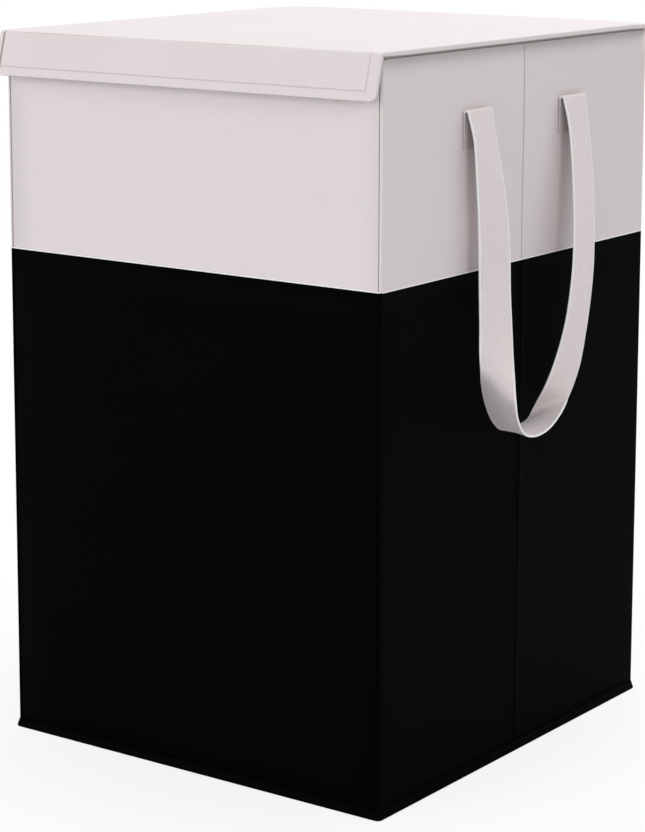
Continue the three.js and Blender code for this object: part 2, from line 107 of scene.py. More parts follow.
def ring(bm, box, z, radii, steps):
    """Adds a closed row of edges round a rectangle (x0, x1, y0, y1) with rounded corners.
    The radii go round from the corner at x0, y0: front left, front right, rear left, rear right."""
    x0, x1, y0, y1 = box
    known = set(bm.edges)
    place = Matrix.Translation(((x0 + x1) / 2, (y0 + y1) / 2, z))
    size = Matrix.Diagonal(((x1 - x0) / 2, (y1 - y0) / 2, 1, 1))
    corners = bmesh.ops.create_grid(bm, x_segments=1, y_segments=1, size=1, matrix=place @ size)["verts"]
    for corner, radius in zip(corners, radii):
        bmesh.ops.bevel(bm, geom=[corner], offset=radius, offset_type="OFFSET", segments=steps,
                        profile=0.5, affect="VERTICES", material=-1)
    edges = [edge for edge in bm.edges if edge not in known]
    faces = {face for edge in edges for face in edge.link_faces}
    bmesh.ops.delete(bm, geom=list(faces), context="FACES_ONLY")
    return edges


def even_ring(bm, half_w, half_d, z, radius, steps):
    """Adds a ring round the body's middle, with the same radius at all four corners."""
    return ring(bm, (-half_w, half_w, -half_d, half_d), z, (radius,) * 4, steps)


def plan_direction(box, radii):
    """Gives the outward direction at a place on the edge of a rounded rectangle, as ring() draws it."""
    x0, x1, y0, y1 = box

    def direction(place):
        right, rear = place.x > (x0 + x1) / 2, place.y > (y0 + y1) / 2
        radius = radii[2 * rear + right]
        centre_x = x1 - radius if right else x0 + radius
        centre_y = y1 - radius if rear else y0 + radius
        dx = max(0.0, place.x - centre_x) if right else min(0.0, place.x - centre_x)
        dy = max(0.0, place.y - centre_y) if rear else min(0.0, place.y - centre_y)
        if dx == 0 and dy == 0:
            on_side = min(x1 - place.x, place.x - x0) < min(y1 - place.y, place.y - y0)
            return Vector(((1 if right else -1) if on_side else 0, 0 if on_side else (1 if rear else -1), 0))
        return Vector((dx, dy, 0)).normalized()
    return direction


def raised(bm, edges, move):
    """Extrudes a row of edges and moves the new vertices by move, a vector or a function of the place."""
    made = bmesh.ops.extrude_edge_only(bm, edges=edges)["geom"]
    for item in made:
        if isinstance(item, bmesh.types.BMVert):
            item.co += move(item.co) if callable(move) else move
    return [item for item in made if isinstance(item, bmesh.types.BMEdge) and item.is_boundary]


def cut_rows(bm, axis, places):
    """Cuts the whole mesh by planes square to an axis, so that it has vertices at these places."""
    normal = Vector((0, 0, 0))
    normal[axis] = 1
    for place in places:
        bmesh.ops.bisect_plane(bm, geom=[*bm.verts, *bm.edges, *bm.faces], dist=CUT_DISTANCE,
                               plane_co=normal * place, plane_no=normal)


def spread(low, high, step):
    """Places between low and high, not counting the ends, about a step apart."""
    count = max(1, round((high - low) / step))
    return [low + (high - low) * i / count for i in range(1, count)]


def both(places):
    """The places on both sides of the middle."""
    return [sign * place for place in places for sign in (-1, 1)]


def bump_at(distance, middle, half):
    """One at the middle of a line, falling evenly to nothing at half a width from it."""
    return max(0.0, 1 - abs(distance - middle) / half)


def ease(value, low, high):
    """Nothing up to low, one from high on, and a soft rise between them."""
    share = min(1.0, max(0.0, (value - low) / (high - low)))
    return share * share * (3 - 2 * share)


def swept_band(bm, box, section, radius, steps):
    """Band that runs round a plan. Its closed section is a list of (inset, height) pairs."""
    x0, x1, y0, y1 = box
    inset, z = section[0]
    outline, radii = (x0 + inset, x1 - inset, y0 + inset, y1 - inset), (radius - inset,) * 4
    edges = ring(bm, outline, z, radii, steps)
    out_at = plan_direction(outline, radii)
    for near, far in zip(section, [*section[1:], section[0]]):
        inwards, up = far[0] - near[0], Vector((0, 0, far[1] - near[1]))
        edges = raised(bm, edges, lambda place, inwards=inwards, up=up: up - out_at(place) * inwards)
    bmesh.ops.remove_doubles(bm, verts=bm.verts, dist=MERGE_DISTANCE)
    face_out(bm)


def turned(bm, edges, out_at, radius, steps, rise):
    """Extrudes a row of edges along a quarter circle, outwards at first and at last up, or down where rise
    is -1."""
    for i in range(steps):
        turn, after = (math.pi / 2 * k / steps for k in (i, i + 1))
        out = radius * (math.sin(after) - math.sin(turn))
        up = Vector((0, 0, rise * radius * (math.cos(turn) - math.cos(after))))
        edges = raised(bm, edges, lambda place, out=out, up=up: out_at(place) * out + up)
    return edges


def plate(bm, box, z, radii, steps, rise, bevel):
    """A flat plate that rises from z, with a bevelled foot below it."""
    edges = ring(bm, box, z, radii, steps)
    out_at = plan_direction(box, radii)
    top = raised(bm, edges, Vector((0, 0, rise)))
    foot = raised(bm, edges, lambda place: out_at(place) * -bevel - Vector((0, 0, bevel)))
    for rim in (top, foot):
        bmesh.ops.contextual_create(bm, geom=rim)


def face_out(bm, inside=Vector()):
    """Turns every face away from a point inside the piece. A closed piece needs no such point."""
    bmesh.ops.recalc_face_normals(bm, faces=bm.faces)
    bm.normal_update()
    lean = sum(face.normal.dot(face.calc_center_median() - inside) * face.calc_area() for face in bm.faces)
    if lean < 0:
        bmesh.ops.reverse_faces(bm, faces=bm.faces)


def map_cloth(bm):
    """Lays the weave flat on each face, in metres, by the way that the face points."""
    layer = bm.loops.layers.uv.new(CLOTH_UV)
    for face in bm.faces:
        size = [abs(part) for part in face.normal]
        if size[Z_AXIS] >= max(size[X_AXIS], size[Y_AXIS]):
            across, up = X_AXIS, Y_AXIS
        elif size[X_AXIS] > size[Y_AXIS]:
            across, up = Y_AXIS, Z_AXIS
        else:
            across, up = X_AXIS, Z_AXIS
        for loop in face.loops:
            loop[layer].uv = (loop.vert.co[across], loop.vert.co[up])


def piece_from(bm, name, finish, sharp=HARD_SHARP, mapped=False):
    """Makes the finished object of a mesh: doubles merged, smooth but for its sharp edges. The weave is laid
    on its faces unless the mesh is mapped already."""
    bmesh.ops.remove_doubles(bm, verts=bm.verts, dist=MERGE_DISTANCE)
    bm.normal_update()
    limit = math.radians(sharp)
    for face in bm.faces:
        face.smooth = True
    for edge in bm.edges:
        edge.smooth = not edge.is_manifold or edge.calc_face_angle(0) < limit
    if not mapped:
        map_cloth(bm)
    mesh = bpy.data.meshes.new(name)
    bm.to_mesh(mesh)
    bm.free()
    mesh.materials.append(finish)
    piece = bpy.data.objects.new(name, mesh)
    bpy.context.scene.collection.objects.link(piece)
    return piece


def thicken(piece, thickness, even=True):
    """Gives a sheet its thickness on the side that its faces turn away from. A sheet that folds sharply in
    a pose takes it without the even offset, which would throw out spikes at the fold."""
    solid = piece.modifiers.new("thickness", "SOLIDIFY")
    solid.thickness = thickness
    solid.offset = -1
    solid.use_even_offset = even
    return piece


def carry(piece, body, slot, *nodes):
    """Lets a piece move with its body and stand for its frame nodes."""
    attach(piece, body)
    if nodes:
        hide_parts(*nodes)
    return piece


def stitch_along(bm, places, up, sizes, closed=False):
    """Sews a row of stitches along a polyline, half sunk in the cloth."""
    places = [Vector(place) for place in places]
    if closed:
        places.append(places[0])
    for start, end in zip(places, places[1:]):
        run = (end - start).length
        count = max(1, round(run / sizes.stitch_pitch))
        along = (end - start).normalized()
        side = Vector(up).cross(along).normalized()
        lift = along.cross(side)
        turn = Matrix((along, side, lift)).transposed().to_4x4()
        length = run / count * sizes.stitch_share / 2
        size = Matrix.Diagonal((length, sizes.stitch_radius, sizes.stitch_radius, 1))
        for i in range(count):
            middle = start.lerp(end, (i + 0.5) / count)
            bmesh.ops.create_icosphere(bm, subdivisions=1, radius=1,
                                       matrix=Matrix.Translation(middle) @ turn @ size)


def sew(name, thread, body, slot, sizes, rows, closed=False):
    """Makes a piece of stitches along rows of (places, up), and lets it move with its body."""
    bm = bmesh.new()
    for places, up in rows:
        stitch_along(bm, places, up, sizes, closed)
    carry(piece_from(bm, name, look(thread)), body, slot)


# Materials

class Value:
    """A number or vector that a shader socket gives. Sums on it add Math nodes."""

    def __init__(self, nodes, socket):
        self.nodes = nodes
        self.socket = socket

    def _with(self, operation, *values):
        return self.nodes.add("ShaderNodeMath", {"operation": operation}, dict(enumerate(values)))

    def __add__(self, other):
        return self._with("ADD", self, other)

    def __sub__(self, other):
        return self._with("SUBTRACT", self, other)

    def __rsub__(self, other):
        return self._with("SUBTRACT", other, self)

    def __mul__(self, other):
        return self._with("MULTIPLY", self, other)

    def sine(self):
        return self._with("SINE", self)

    def size(self):
        return self._with("ABSOLUTE", self)

    def held(self):
        return self._with("MINIMUM", self, 1)

    def either(self, other):
        return self._with("MAXIMUM", self, other)

    def over(self, limit):
        return self._with("GREATER_THAN", self, limit)

    def other(self, output):
        """What another output of the same node gives."""
        return Value(self.nodes, self.socket.node.outputs[output])

    __radd__ = __add__
    __rmul__ = __mul__


class Nodes:
    """The nodes of a material or of the world, and the links between them."""

    def __init__(self, tree):
        self.nodes = tree.nodes
        self.links = tree.links

    def feed(self, socket, value):
        """Gives a socket a number, a colour or what another node gives."""
        if isinstance(value, Value):
            self.links.new(value.socket, socket)
        elif hasattr(socket.default_value, "__len__") and len(socket.default_value) == 4:
            socket.default_value = (*value, 1)
        else:
            socket.default_value = value

    def add(self, kind, settings, inputs, output=0):
        """Adds any node, with its settings first and then its sockets, and returns what it gives."""
        node = self.nodes.new(kind)
        for setting, value in settings.items():
            setattr(node, setting, value)
        for key, value in inputs.items():
            self.feed(node.inputs[key], value)
        return Value(self, node.outputs[output])


class Finish(Nodes):
    """One material of the hamper, with its shader and the nodes that feed it."""

    def __init__(self, name):
        self.material = bpy.data.materials.new(name)
        self.material.use_nodes = True
        super().__init__(self.material.node_tree)
        self.shader = self.nodes["Principled BSDF"]

    def set(self, **values):
        """Feeds the shader's sockets, each called by its name in small letters."""
        for key, value in values.items():
            self.feed(self.shader.inputs[key.replace("_", " ").title().replace("Ior", "IOR")], value)

    def cloth_place(self):
        return self.add("ShaderNodeUVMap", {"uv_map": CLOTH_UV}, {}, "UV")

    def place(self):
        return self.add("ShaderNodeTexCoord", {}, {}, "Object")

    # The share of painted shade that the mesh notes on each vertex
    def painted_shade(self):
        return self.add("ShaderNodeAttribute", {"attribute_name": PAINTED_SHADE_ATTRIBUTE}, {}, "Fac")

    def noise(self, vector, scale, detail=2, roughness=0.5):
        return self.add("ShaderNodeTexNoise", {}, {
            "Vector": vector, "Scale": scale, "Detail": detail, "Roughness": roughness,
        }, "Fac")

    def stretched(self, vector, scale):
        return self.add("ShaderNodeVectorMath", {"operation": "MULTIPLY"}, {0: vector, 1: scale})

    def mix(self, share, first, second):
        colours = {"data_type": "RGBA", "clamp_factor": True}
        return self.add("ShaderNodeMix", colours, {0: share, 6: first, 7: second}, 2)

    def parts(self, vector):
        across = self.add("ShaderNodeSeparateXYZ", {}, {0: vector})
        return across, across.other("Y"), across.other("Z")

    def bump(self, height, distance, strength=1.0, before=None):
        """Turns a height into a normal, over the normal before it."""
        inputs = {"Height": height, "Distance": distance, "Strength": strength}
        if before:
            inputs["Normal"] = before
        return self.add("ShaderNodeBump", {}, inputs, "Normal")


def tinted(colour, share):
    """The colour made lighter or darker by a share."""
    return tuple(min(1.0, part * (1 + share)) for part in colour)


SLUB_FINE, SLUB_LONG = 1600, 90     # how closely slubs lie across and along a thread, per metre
FUZZ_SCALE, MOTTLE_SCALE, BLOTCH_SCALE = 2600, 160, 9
PAINTED_FOLD_SHADE = -0.72                  # painted shade: how much darker the cloth is painted at the bottom of a fold, a sewn line or a turned edge
PAINTED_PATCH_SHADOW = -0.3                   # painted shadow: how much darker the webbing is painted where it is sewn down, under its loop
HOOK_PITCH = 1.3 * MM


def cloth_finish(name, colour, sizes, grain=0.05, roughness=0.85, specular=0.25, relief=0.03, sheen=0.0):
    """Fine plain-weave cloth: threads both ways, slubs, soft blotches of tone and a dry surface, with painted
    shade where its mesh notes folds, sewn lines and turned edges.
    """
    finish = Finish(name)
    flat = finish.cloth_place()
    place = finish.place()
    u, v, _ = finish.parts(flat)
    turn = 2 * math.pi / sizes.thread_pitch
    weave = (u * turn).sine() * (v * turn).sine()
    slub_u = finish.noise(finish.stretched(flat, (SLUB_FINE, SLUB_LONG, 1)), 1, 1)
    slub_v = finish.noise(finish.stretched(flat, (SLUB_LONG, SLUB_FINE, 1)), 1, 1)
    fuzz = finish.noise(place, FUZZ_SCALE, 2, 0.7)
    blotch = finish.noise(place, BLOTCH_SCALE, 3, 0.55)
    mottle = finish.noise(place, MOTTLE_SCALE, 3, 0.6)
    tone = blotch * 0.55 + mottle * 0.25 + (slub_u + slub_v) * 0.1
    plain = finish.mix((tone - 0.5) * 2.2 + 0.5, tinted(colour, -grain), tinted(colour, grain))
    # Painted shade where the mesh notes a fold, a sewn line or a turned edge
    fold = finish.painted_shade()
    colour_over = finish.mix(fold, plain, tinted(colour, PAINTED_FOLD_SHADE))
    height = weave * 0.35 + slub_u * 0.5 + slub_v * 0.5 + fuzz * 0.5
    slow = finish.bump(mottle, 0.12 * MM, 0.35)
    normal = finish.bump(height, relief * MM, 0.6, slow)
    finish.set(base_color=colour_over, roughness=(mottle - 0.5) * 0.16 + roughness, normal=normal,
               specular_ior_level=specular, sheen_weight=sheen, sheen_roughness=0.5)
    return finish.material


def webbing_finish(name, colour, sizes, half_width, edge_light):
    """Twill webbing: slanting ribs across the band, and a lighter close-woven selvedge on both edges. Its sewn
    ends get painted shadow, with no light selvedge.
    """
    finish = Finish(name)
    flat = finish.cloth_place()
    u, v, _ = finish.parts(flat)
    turn = 2 * math.pi / sizes.twill_pitch
    rib = ((u + v) * turn).sine()
    fine = (v * (2 * math.pi / sizes.thread_pitch)).sine()
    selvedge = u.size().over(half_width - sizes.selvedge)
    slub = finish.noise(finish.stretched(flat, (1300, 240, 1)), 1, 2)
    mottle = finish.noise(flat, 220, 3, 0.6)
    tone = mottle * 0.6 + slub * 0.3 + rib * 0.05 + 0.05
    body = finish.mix((tone - 0.5) * 2 + 0.5, tinted(colour, -0.07), tinted(colour, 0.06))
    # Painted shadow on the sewn ends, which also hides the selvedge's light there
    fold = finish.painted_shade()
    band = finish.mix(selvedge * (1 - fold), body, edge_light)
    colour_over = finish.mix(fold, band, tinted(colour, PAINTED_PATCH_SHADOW))
    height = rib * 0.4 * (1 - selvedge) + fine * 0.25 + slub * 0.6
    finish.set(base_color=colour_over, roughness=(slub - 0.5) * 0.2 + 0.78,
               normal=finish.bump(height, 0.09 * MM, 0.7), specular_ior_level=0.3)
    return finish.material


def thread_finish(name, colour):
    """Sewing thread: a twisted strand with a slight gloss."""
    finish = Finish(name)
    place = finish.place()
    grain = finish.noise(place, 3500, 1)
    finish.set(base_color=finish.mix(grain, tinted(colour, -0.12), tinted(colour, 0.1)),
               roughness=(grain - 0.5) * 0.2 + 0.6, normal=finish.bump(grain, 0.03 * MM, 0.5))
    return finish.material


def board_finish(name, colour):
    """Grey-brown stiffener board with pulp flecks and a faint grain along one way."""
    finish = Finish(name)
    place = finish.place()
    grain = finish.noise(finish.stretched(place, (700, 700, 60)), 1, 3, 0.7)
    fleck = finish.noise(place, 900, 2, 0.8)
    tone = grain * 0.6 + fleck * 0.4
    finish.set(base_color=finish.mix(tone, tinted(colour, -0.3), tinted(colour, 0.25)),
               roughness=grain * 0.15 + 0.8, normal=finish.bump(tone, 0.15 * MM, 0.5))
    return finish.material


def hook_finish(name, colour):
    """Hook-and-loop tape: rows of tiny stiff hooks."""
    finish = Finish(name)
    flat = finish.cloth_place()
    u, v, _ = finish.parts(flat)
    turn = 2 * math.pi / HOOK_PITCH
    hooks = ((u * turn).sine() * (v * turn).sine() + 1) * 0.5
    fuzz = finish.noise(flat, 3000, 2, 0.7)
    finish.set(base_color=finish.mix(hooks, tinted(colour, -0.3), tinted(colour, 0.8)),
               roughness=fuzz * 0.2 + 0.7, normal=finish.bump(hooks * 0.7 + fuzz * 0.3, 0.4 * MM, 0.8))
    return finish.material


# Settings

def length(name, about, millimetres):
    return FloatProperty(name=name, description=about, default=millimetres * MM, min=0,
                         unit="LENGTH", subtype="DISTANCE", precision=5)


def colour(name, about, value):
    return FloatVectorProperty(name=name, description=about, default=value, min=0, max=1, size=3,
                               subtype="COLOR")


class HamperSizes(bpy.types.PropertyGroup):
    """Sizes of the cloth, seams, stitches and webbing"""

    cloth: length("Cloth", "Thickness of the outer cloth", 1.2)
    thin_cloth: length("Thin cloth", "Thickness of the lining, the lid's cloth and the liner bags", 0.8)
    corner_radius: length("Corner radius", "Radius of the upright corners of the walls", 2.2)
    seam_offset: length("Seam offset", "Sewn line beside an upright corner, from the corner", 3.0)
    seam_width: length("Seam width", "Width of a sewn groove", 1.6)
    seam_depth: length("Seam depth", "Depth of a sewn groove", 1.3)
    welt: length("Welt", "How far an upright corner stands proud of its sewn line", 0.3)
    crease_width: length("Crease width", "Width of the fold line down the middle of a side", 2.1)
    crease_depth: length("Crease depth", "Depth of the fold line down the middle of a side", 1.4)
    hem: length("Hem", "Width of the border that is sewn along the flap's lower edge", 8)
    end_hem: length("End hem", "Width of the border that is sewn at the flap's right end", 11)
    end_strip: length("End strip", "Width of the folded strip at the flap's left end", 5.5)
    roll_radius: length("Roll radius", "Radius of the cloth where the flap turns down from the lid", 4.5)
    edging_radius: length("Edging radius", "Radius of the pale cord in the colour seam", 0.55)
    stitch_pitch: length("Stitch pitch", "From one stitch to the next", 3.2)
    stitch_radius: length("Stitch radius", "Half the thickness of a stitch", 0.28)
    stitch_share: FloatProperty(name="Stitch share", description="Share of the pitch that shows as thread",
                                default=0.78, min=0.1, max=1, subtype="FACTOR")
    webbing_width: length("Webbing width", "Width of the carrying handles", 38)
    webbing: length("Webbing", "Thickness of the carrying handles", 1.8)
    selvedge: length("Selvedge", "Width of the light edge of the webbing", 1.5)
    thread_pitch: length("Thread pitch", "From one thread of the cloth to the next", 0.55)
    twill_pitch: length("Twill pitch", "From one rib of the webbing to the next", 1.5)


class HamperColours(bpy.types.PropertyGroup):
    """Colours of the cloths, webbing, thread and boards"""

    pale: colour("Pale cloth", "Upper cloth, lid and flap", (0.735, 0.67, 0.675))
    dark: colour("Dark cloth", "Lower cloth and bottom binding", (0.0012, 0.0012, 0.0015))
    inner: colour("Inner cloth", "Lining, hems and linings of the lid and flap", (0.50, 0.47, 0.455))
    bag: colour("Bag cloth", "Liner bags", (0.68, 0.65, 0.62))
    webbing: colour("Webbing", "Carrying handles", (0.80, 0.725, 0.73))
    # Its near-white also colours the cord in the colour seam, as a painted highlight
    selvedge: colour("Selvedge", "Edges of the carrying handles and the colour seam", (0.95, 0.94, 0.94))
    inner_webbing: colour("Inner webbing", "Handles of the liner bags", (0.45, 0.42, 0.40))
    board: colour("Board", "Stiffener boards", (0.42, 0.33, 0.23))
    hook: colour("Hook tape", "Hook-and-loop strips", (0.02, 0.02, 0.022))
    floor: colour("Floor", "Studio floor", (0.86, 0.86, 0.86))


class StudioLight(bpy.types.PropertyGroup):
    """Strength of the studio's lamps and of its even light"""

    even: FloatProperty(name="Even light", description="Strength of the light from all round", default=0.45)
    top: FloatProperty(name="Top lamp", description="Power of the wide lamp above", default=43,
                       unit="POWER")
    front: FloatProperty(name="Front lamp", description="Power of the wide lamp before the flap", default=34,
                         unit="POWER")
    side: FloatProperty(name="Side lamp", description="Power of the lamp at the handle's side", default=14,
                        unit="POWER")


_looks = {}


def look(name):
    """The material of that name, made when it is first asked for."""
    if name not in _looks:
        sizes, colours = bpy.context.scene.hamper_sizes, bpy.context.scene.hamper_colours
        makers = {
            "pale_cloth": lambda: cloth_finish(name, colours.pale, sizes, 0.03, 0.62, 0.5, 0.03, 0.1),
            "dark_cloth": lambda: cloth_finish(name, colours.dark, sizes, 0.2, 0.6, 0.012, 0.03),
            "inner_cloth": lambda: cloth_finish(name, colours.inner, sizes, 0.05, 0.9, 0.2),
            "bag_cloth": lambda: cloth_finish(name, colours.bag, sizes, 0.04, 0.9, 0.2, 0.05),
            "handle_webbing": lambda: webbing_finish(
                name, colours.webbing, sizes, sizes.webbing_width / 2, colours.selvedge),
            "inner_webbing": lambda: webbing_finish(
                name, colours.inner_webbing, sizes, BAG_HANDLE_W / 2, tinted(colours.inner_webbing, 0.15)),
            "pale_thread": lambda: thread_finish(name, tinted(colours.pale, -0.06)),
            "inner_thread": lambda: thread_finish(name, tinted(colours.inner, 0.15)),
            # Painted highlight: the near-white cord along the colour seam
            "seam_edging": lambda: thread_finish(name, colours.selvedge),
            "board": lambda: board_finish(name, colours.board),
            "hook_and_loop": lambda: hook_finish(name, colours.hook),
        }
        _looks[name] = makers[name]()
    return _looks[name]


class HamperPiece:
    """What every building operator shares."""

    bl_options = {"REGISTER", "UNDO"}

    def execute(self, context):
        self.build(context.scene.hamper_sizes)
        return {"FINISHED"}


# Walls

WALL_STEP = 24 * MM
CORNER_STEPS = 5
FIRST_CUT = 10 * MM             # from the corner of a wall to where its even cuts start
CREASE_ROW_SHARES = (0.45, 1, 1.5, 2.2)
CREASE_RIDGE = 0.22 * MM        # how far the cloth rises beside the crease
CALM_NEAR, CALM_FAR = 6 * MM, 60 * MM   # the waves start so far from a corner, and are full so far from it
CALM_ENDS = 40 * MM
WAVE, WAVE_RATE = 0.7 * MM, 7
RIPPLE, RIPPLE_RATE = 0.2 * MM, 23


def wall_sheet(sizes, half_w, half_d, z0, z1, rows, radius, details):
    """The four walls as one sheet, with vertices where its seams and fold lines need them."""
    bm = bmesh.new()
    edges = even_ring(bm, half_w, half_d, z0, radius, CORNER_STEPS)
    raised(bm, edges, Vector((0, 0, z1 - z0)))
    seams = [sizes.seam_offset + sizes.seam_width / 2 * k for k in (-1, 0, 1)] if details else []
    cut_rows(bm, X_AXIS, spread(-half_w + FIRST_CUT, half_w - FIRST_CUT, WALL_STEP))
    cut_rows(bm, Y_AXIS, spread(-half_d + FIRST_CUT, half_d - FIRST_CUT, WALL_STEP))
    cut_rows(bm, X_AXIS, both([half_w - seam for seam in seams]))
    if details:
        half = sizes.crease_width / 2
        cut_rows(bm, Y_AXIS, [0, *both([half * share for share in CREASE_ROW_SHARES])])
    cut_rows(bm, Z_AXIS, rows)
    face_out(bm, Vector((0, 0, (z0 + z1) / 2)))
    return bm


def press_relief(bm, relief):
    """Moves each vertex outwards by the height that relief gives for its place, and notes how deep it lies
    in a fold, for the painted shade of the cloth there."""
    bm.normal_update()
    fold = bm.verts.layers.float.new(PAINTED_SHADE_ATTRIBUTE)
    moves = [(vert, Vector((vert.normal.x, vert.normal.y, 0)).normalized()) for vert in bm.verts]
    for vert, out in moves:
        height, vert[fold] = relief(vert.co, out)
        vert.co += out * height


def cover_relief(sizes, half_w, half_d, z0, z1):
    """Gives the height of the outer cloth over its wall, with corner welts, sewn lines, the crease and soft
    waves, and how deep the place lies in a fold, which sets the painted shade there."""
    def relief(place, out):
        on_side = abs(out.x) > abs(out.y)
        from_corner = half_d - abs(place.y) if on_side else half_w - abs(place.x)
        height = fold = 0.0
        if not on_side:
            # Painted shade in the sewn line beside a corner; on a side, in the crease below
            fold = bump_at(from_corner, sizes.seam_offset, sizes.seam_width / 2)
            height -= sizes.seam_depth * fold
        height += sizes.welt * (1 - ease(from_corner, sizes.corner_radius * 0.8, sizes.seam_offset))
        if on_side:
            half = sizes.crease_width / 2
            fold = bump_at(place.y, 0, half)
            height -= sizes.crease_depth * fold
            height += CREASE_RIDGE * bump_at(abs(place.y), half * 1.5, half)
        calm = ease(from_corner, CALM_NEAR, CALM_FAR) * ease(place.z, z0, z0 + CALM_ENDS)
        calm *= 1 - ease(place.z, z1 - CALM_ENDS, z1)
        height += WAVE * calm * noise.noise(place * WAVE_RATE)
        height += RIPPLE * calm * noise.noise(place * RIPPLE_RATE)
        return height, fold
    return relief


def build_cover(sizes, name, slot, z0, z1, rows):
    """One of the two outer cloths round the body."""
    bm = wall_sheet(sizes, HALF_W, HALF_D, z0, z1, rows, sizes.corner_radius, True)
    press_relief(bm, cover_relief(sizes, HALF_W, HALF_D, z0, z1))
    cover = thicken(piece_from(bm, f"{name}_cloth", look(slot), CLOTH_SHARP), sizes.cloth)
    carry(cover, BODY, slot, name)


class HAMPER_OT_lower_cover(HamperPiece, bpy.types.Operator):
    """Build the dark cloth round the lower part of the body"""
    bl_idname = "hamper.lower_cover"
    bl_label = "Lower cover"

    def build(self, sizes):
        z0, z1 = LOWER_FOOT_Z, SEAM_Z
        build_cover(sizes, "lower_cover", "dark_cloth", z0, z1, spread(z0, z1, WALL_STEP))


SEAM_ROWS = [0.6 * MM, 1.6 * MM, 3 * MM]     # over the colour seam
EDGING_SIDES = 8


class HAMPER_OT_upper_cover(HamperPiece, bpy.types.Operator):
    """Build the pale cloth round the upper part of the body, with a cord in the colour seam whose near-white is
    a painted highlight
    """
    bl_idname = "hamper.upper_cover"
    bl_label = "Upper cover"

    def build(self, sizes):
        z0, z1 = SEAM_Z, UPPER_HIGH.z
        rows = [*(z0 + row for row in SEAM_ROWS), *spread(z0 + SEAM_ROWS[-1], z1, WALL_STEP)]
        build_cover(sizes, "upper_cover", "pale_cloth", z0, z1, rows)

        # The cord in the colour seam: its near-white colour is a painted highlight along the seam's edge
        bm = bmesh.new()
        r = sizes.edging_radius
        turns = [2 * math.pi * i / EDGING_SIDES for i in range(EDGING_SIDES)]
        section = [(-r * math.cos(turn), z0 + r * math.sin(turn)) for turn in turns]
        box = (-HALF_W, HALF_W, -HALF_D, HALF_D)
        swept_band(bm, box, section, sizes.corner_radius + r, CORNER_STEPS)
        edging = piece_from(bm, "colour_seam_edging", look("seam_edging"), CLOTH_SHARP)
        carry(edging, BODY, "pale_cloth")


SAG, SAG_RATE = 0.25 * MM, 9            # how far the bottom cloth rises between its edges
SAG_NEAR, SAG_FAR = 6 * MM, 40 * MM


class HAMPER_OT_bottom(HamperPiece, bpy.types.Operator):
    """Build the bottom cloth and the binding round the foot"""
    bl_idname = "hamper.bottom"
    bl_label = "Bottom"

    def build(self, sizes):
        low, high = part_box("bottom_binding")
        box = (low.x, high.x, low.y, high.y)
        depth = high.x - HALF_W
        foot, top = low.z, high.z
        section = [
            (depth, foot + 0.3 * MM), (depth * 0.5, foot), (0.5 * MM, foot), (0.1 * MM, foot + 0.4 * MM),
            (0, foot + 1.1 * MM), (depth * 0.16, foot + 2.4 * MM), (depth * 0.42, foot + 4.4 * MM),
            (depth * 0.62, top - 1.4 * MM), (depth * 0.7, top - 0.6 * MM), (depth * 0.86, top - 0.1 * MM),
            (depth, top),
        ]
        bm = bmesh.new()
        swept_band(bm, box, section, sizes.corner_radius + depth, CORNER_STEPS)
        binding = piece_from(bm, "bottom_binding_band", look("dark_cloth"), BOUND_SHARP)
        carry(binding, BODY, "dark_cloth", "bottom_binding")

        low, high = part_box("bottom_cloth")
        bm = bmesh.new()
        edges = even_ring(bm, high.x, high.y, low.z, sizes.corner_radius, CORNER_STEPS)
        bmesh.ops.contextual_create(bm, geom=edges)
        cut_rows(bm, X_AXIS, spread(low.x, high.x, WALL_STEP))
        cut_rows(bm, Y_AXIS, spread(low.y, high.y, WALL_STEP))
        for vert in bm.verts:
            rim = min(high.x - abs(vert.co.x), high.y - abs(vert.co.y))
            vert.co.z += SAG * ease(rim, SAG_NEAR, SAG_FAR) * (1 + noise.noise(vert.co * SAG_RATE))
        face_out(bm, Vector((0, 0, 1)))
        sheet = thicken(piece_from(bm, "bottom_cloth_sheet", look("dark_cloth")), high.z - low.z)
        carry(sheet, BODY, "dark_cloth", "bottom_cloth")


BINDING_RADIUS = 7 * MM
BINDING_OVERLAP = 1.9 * MM      # how far the binding reaches over the lining
BINDING_STITCH_RISE = 2.5 * MM
LINING_RADIUS = 2 * MM


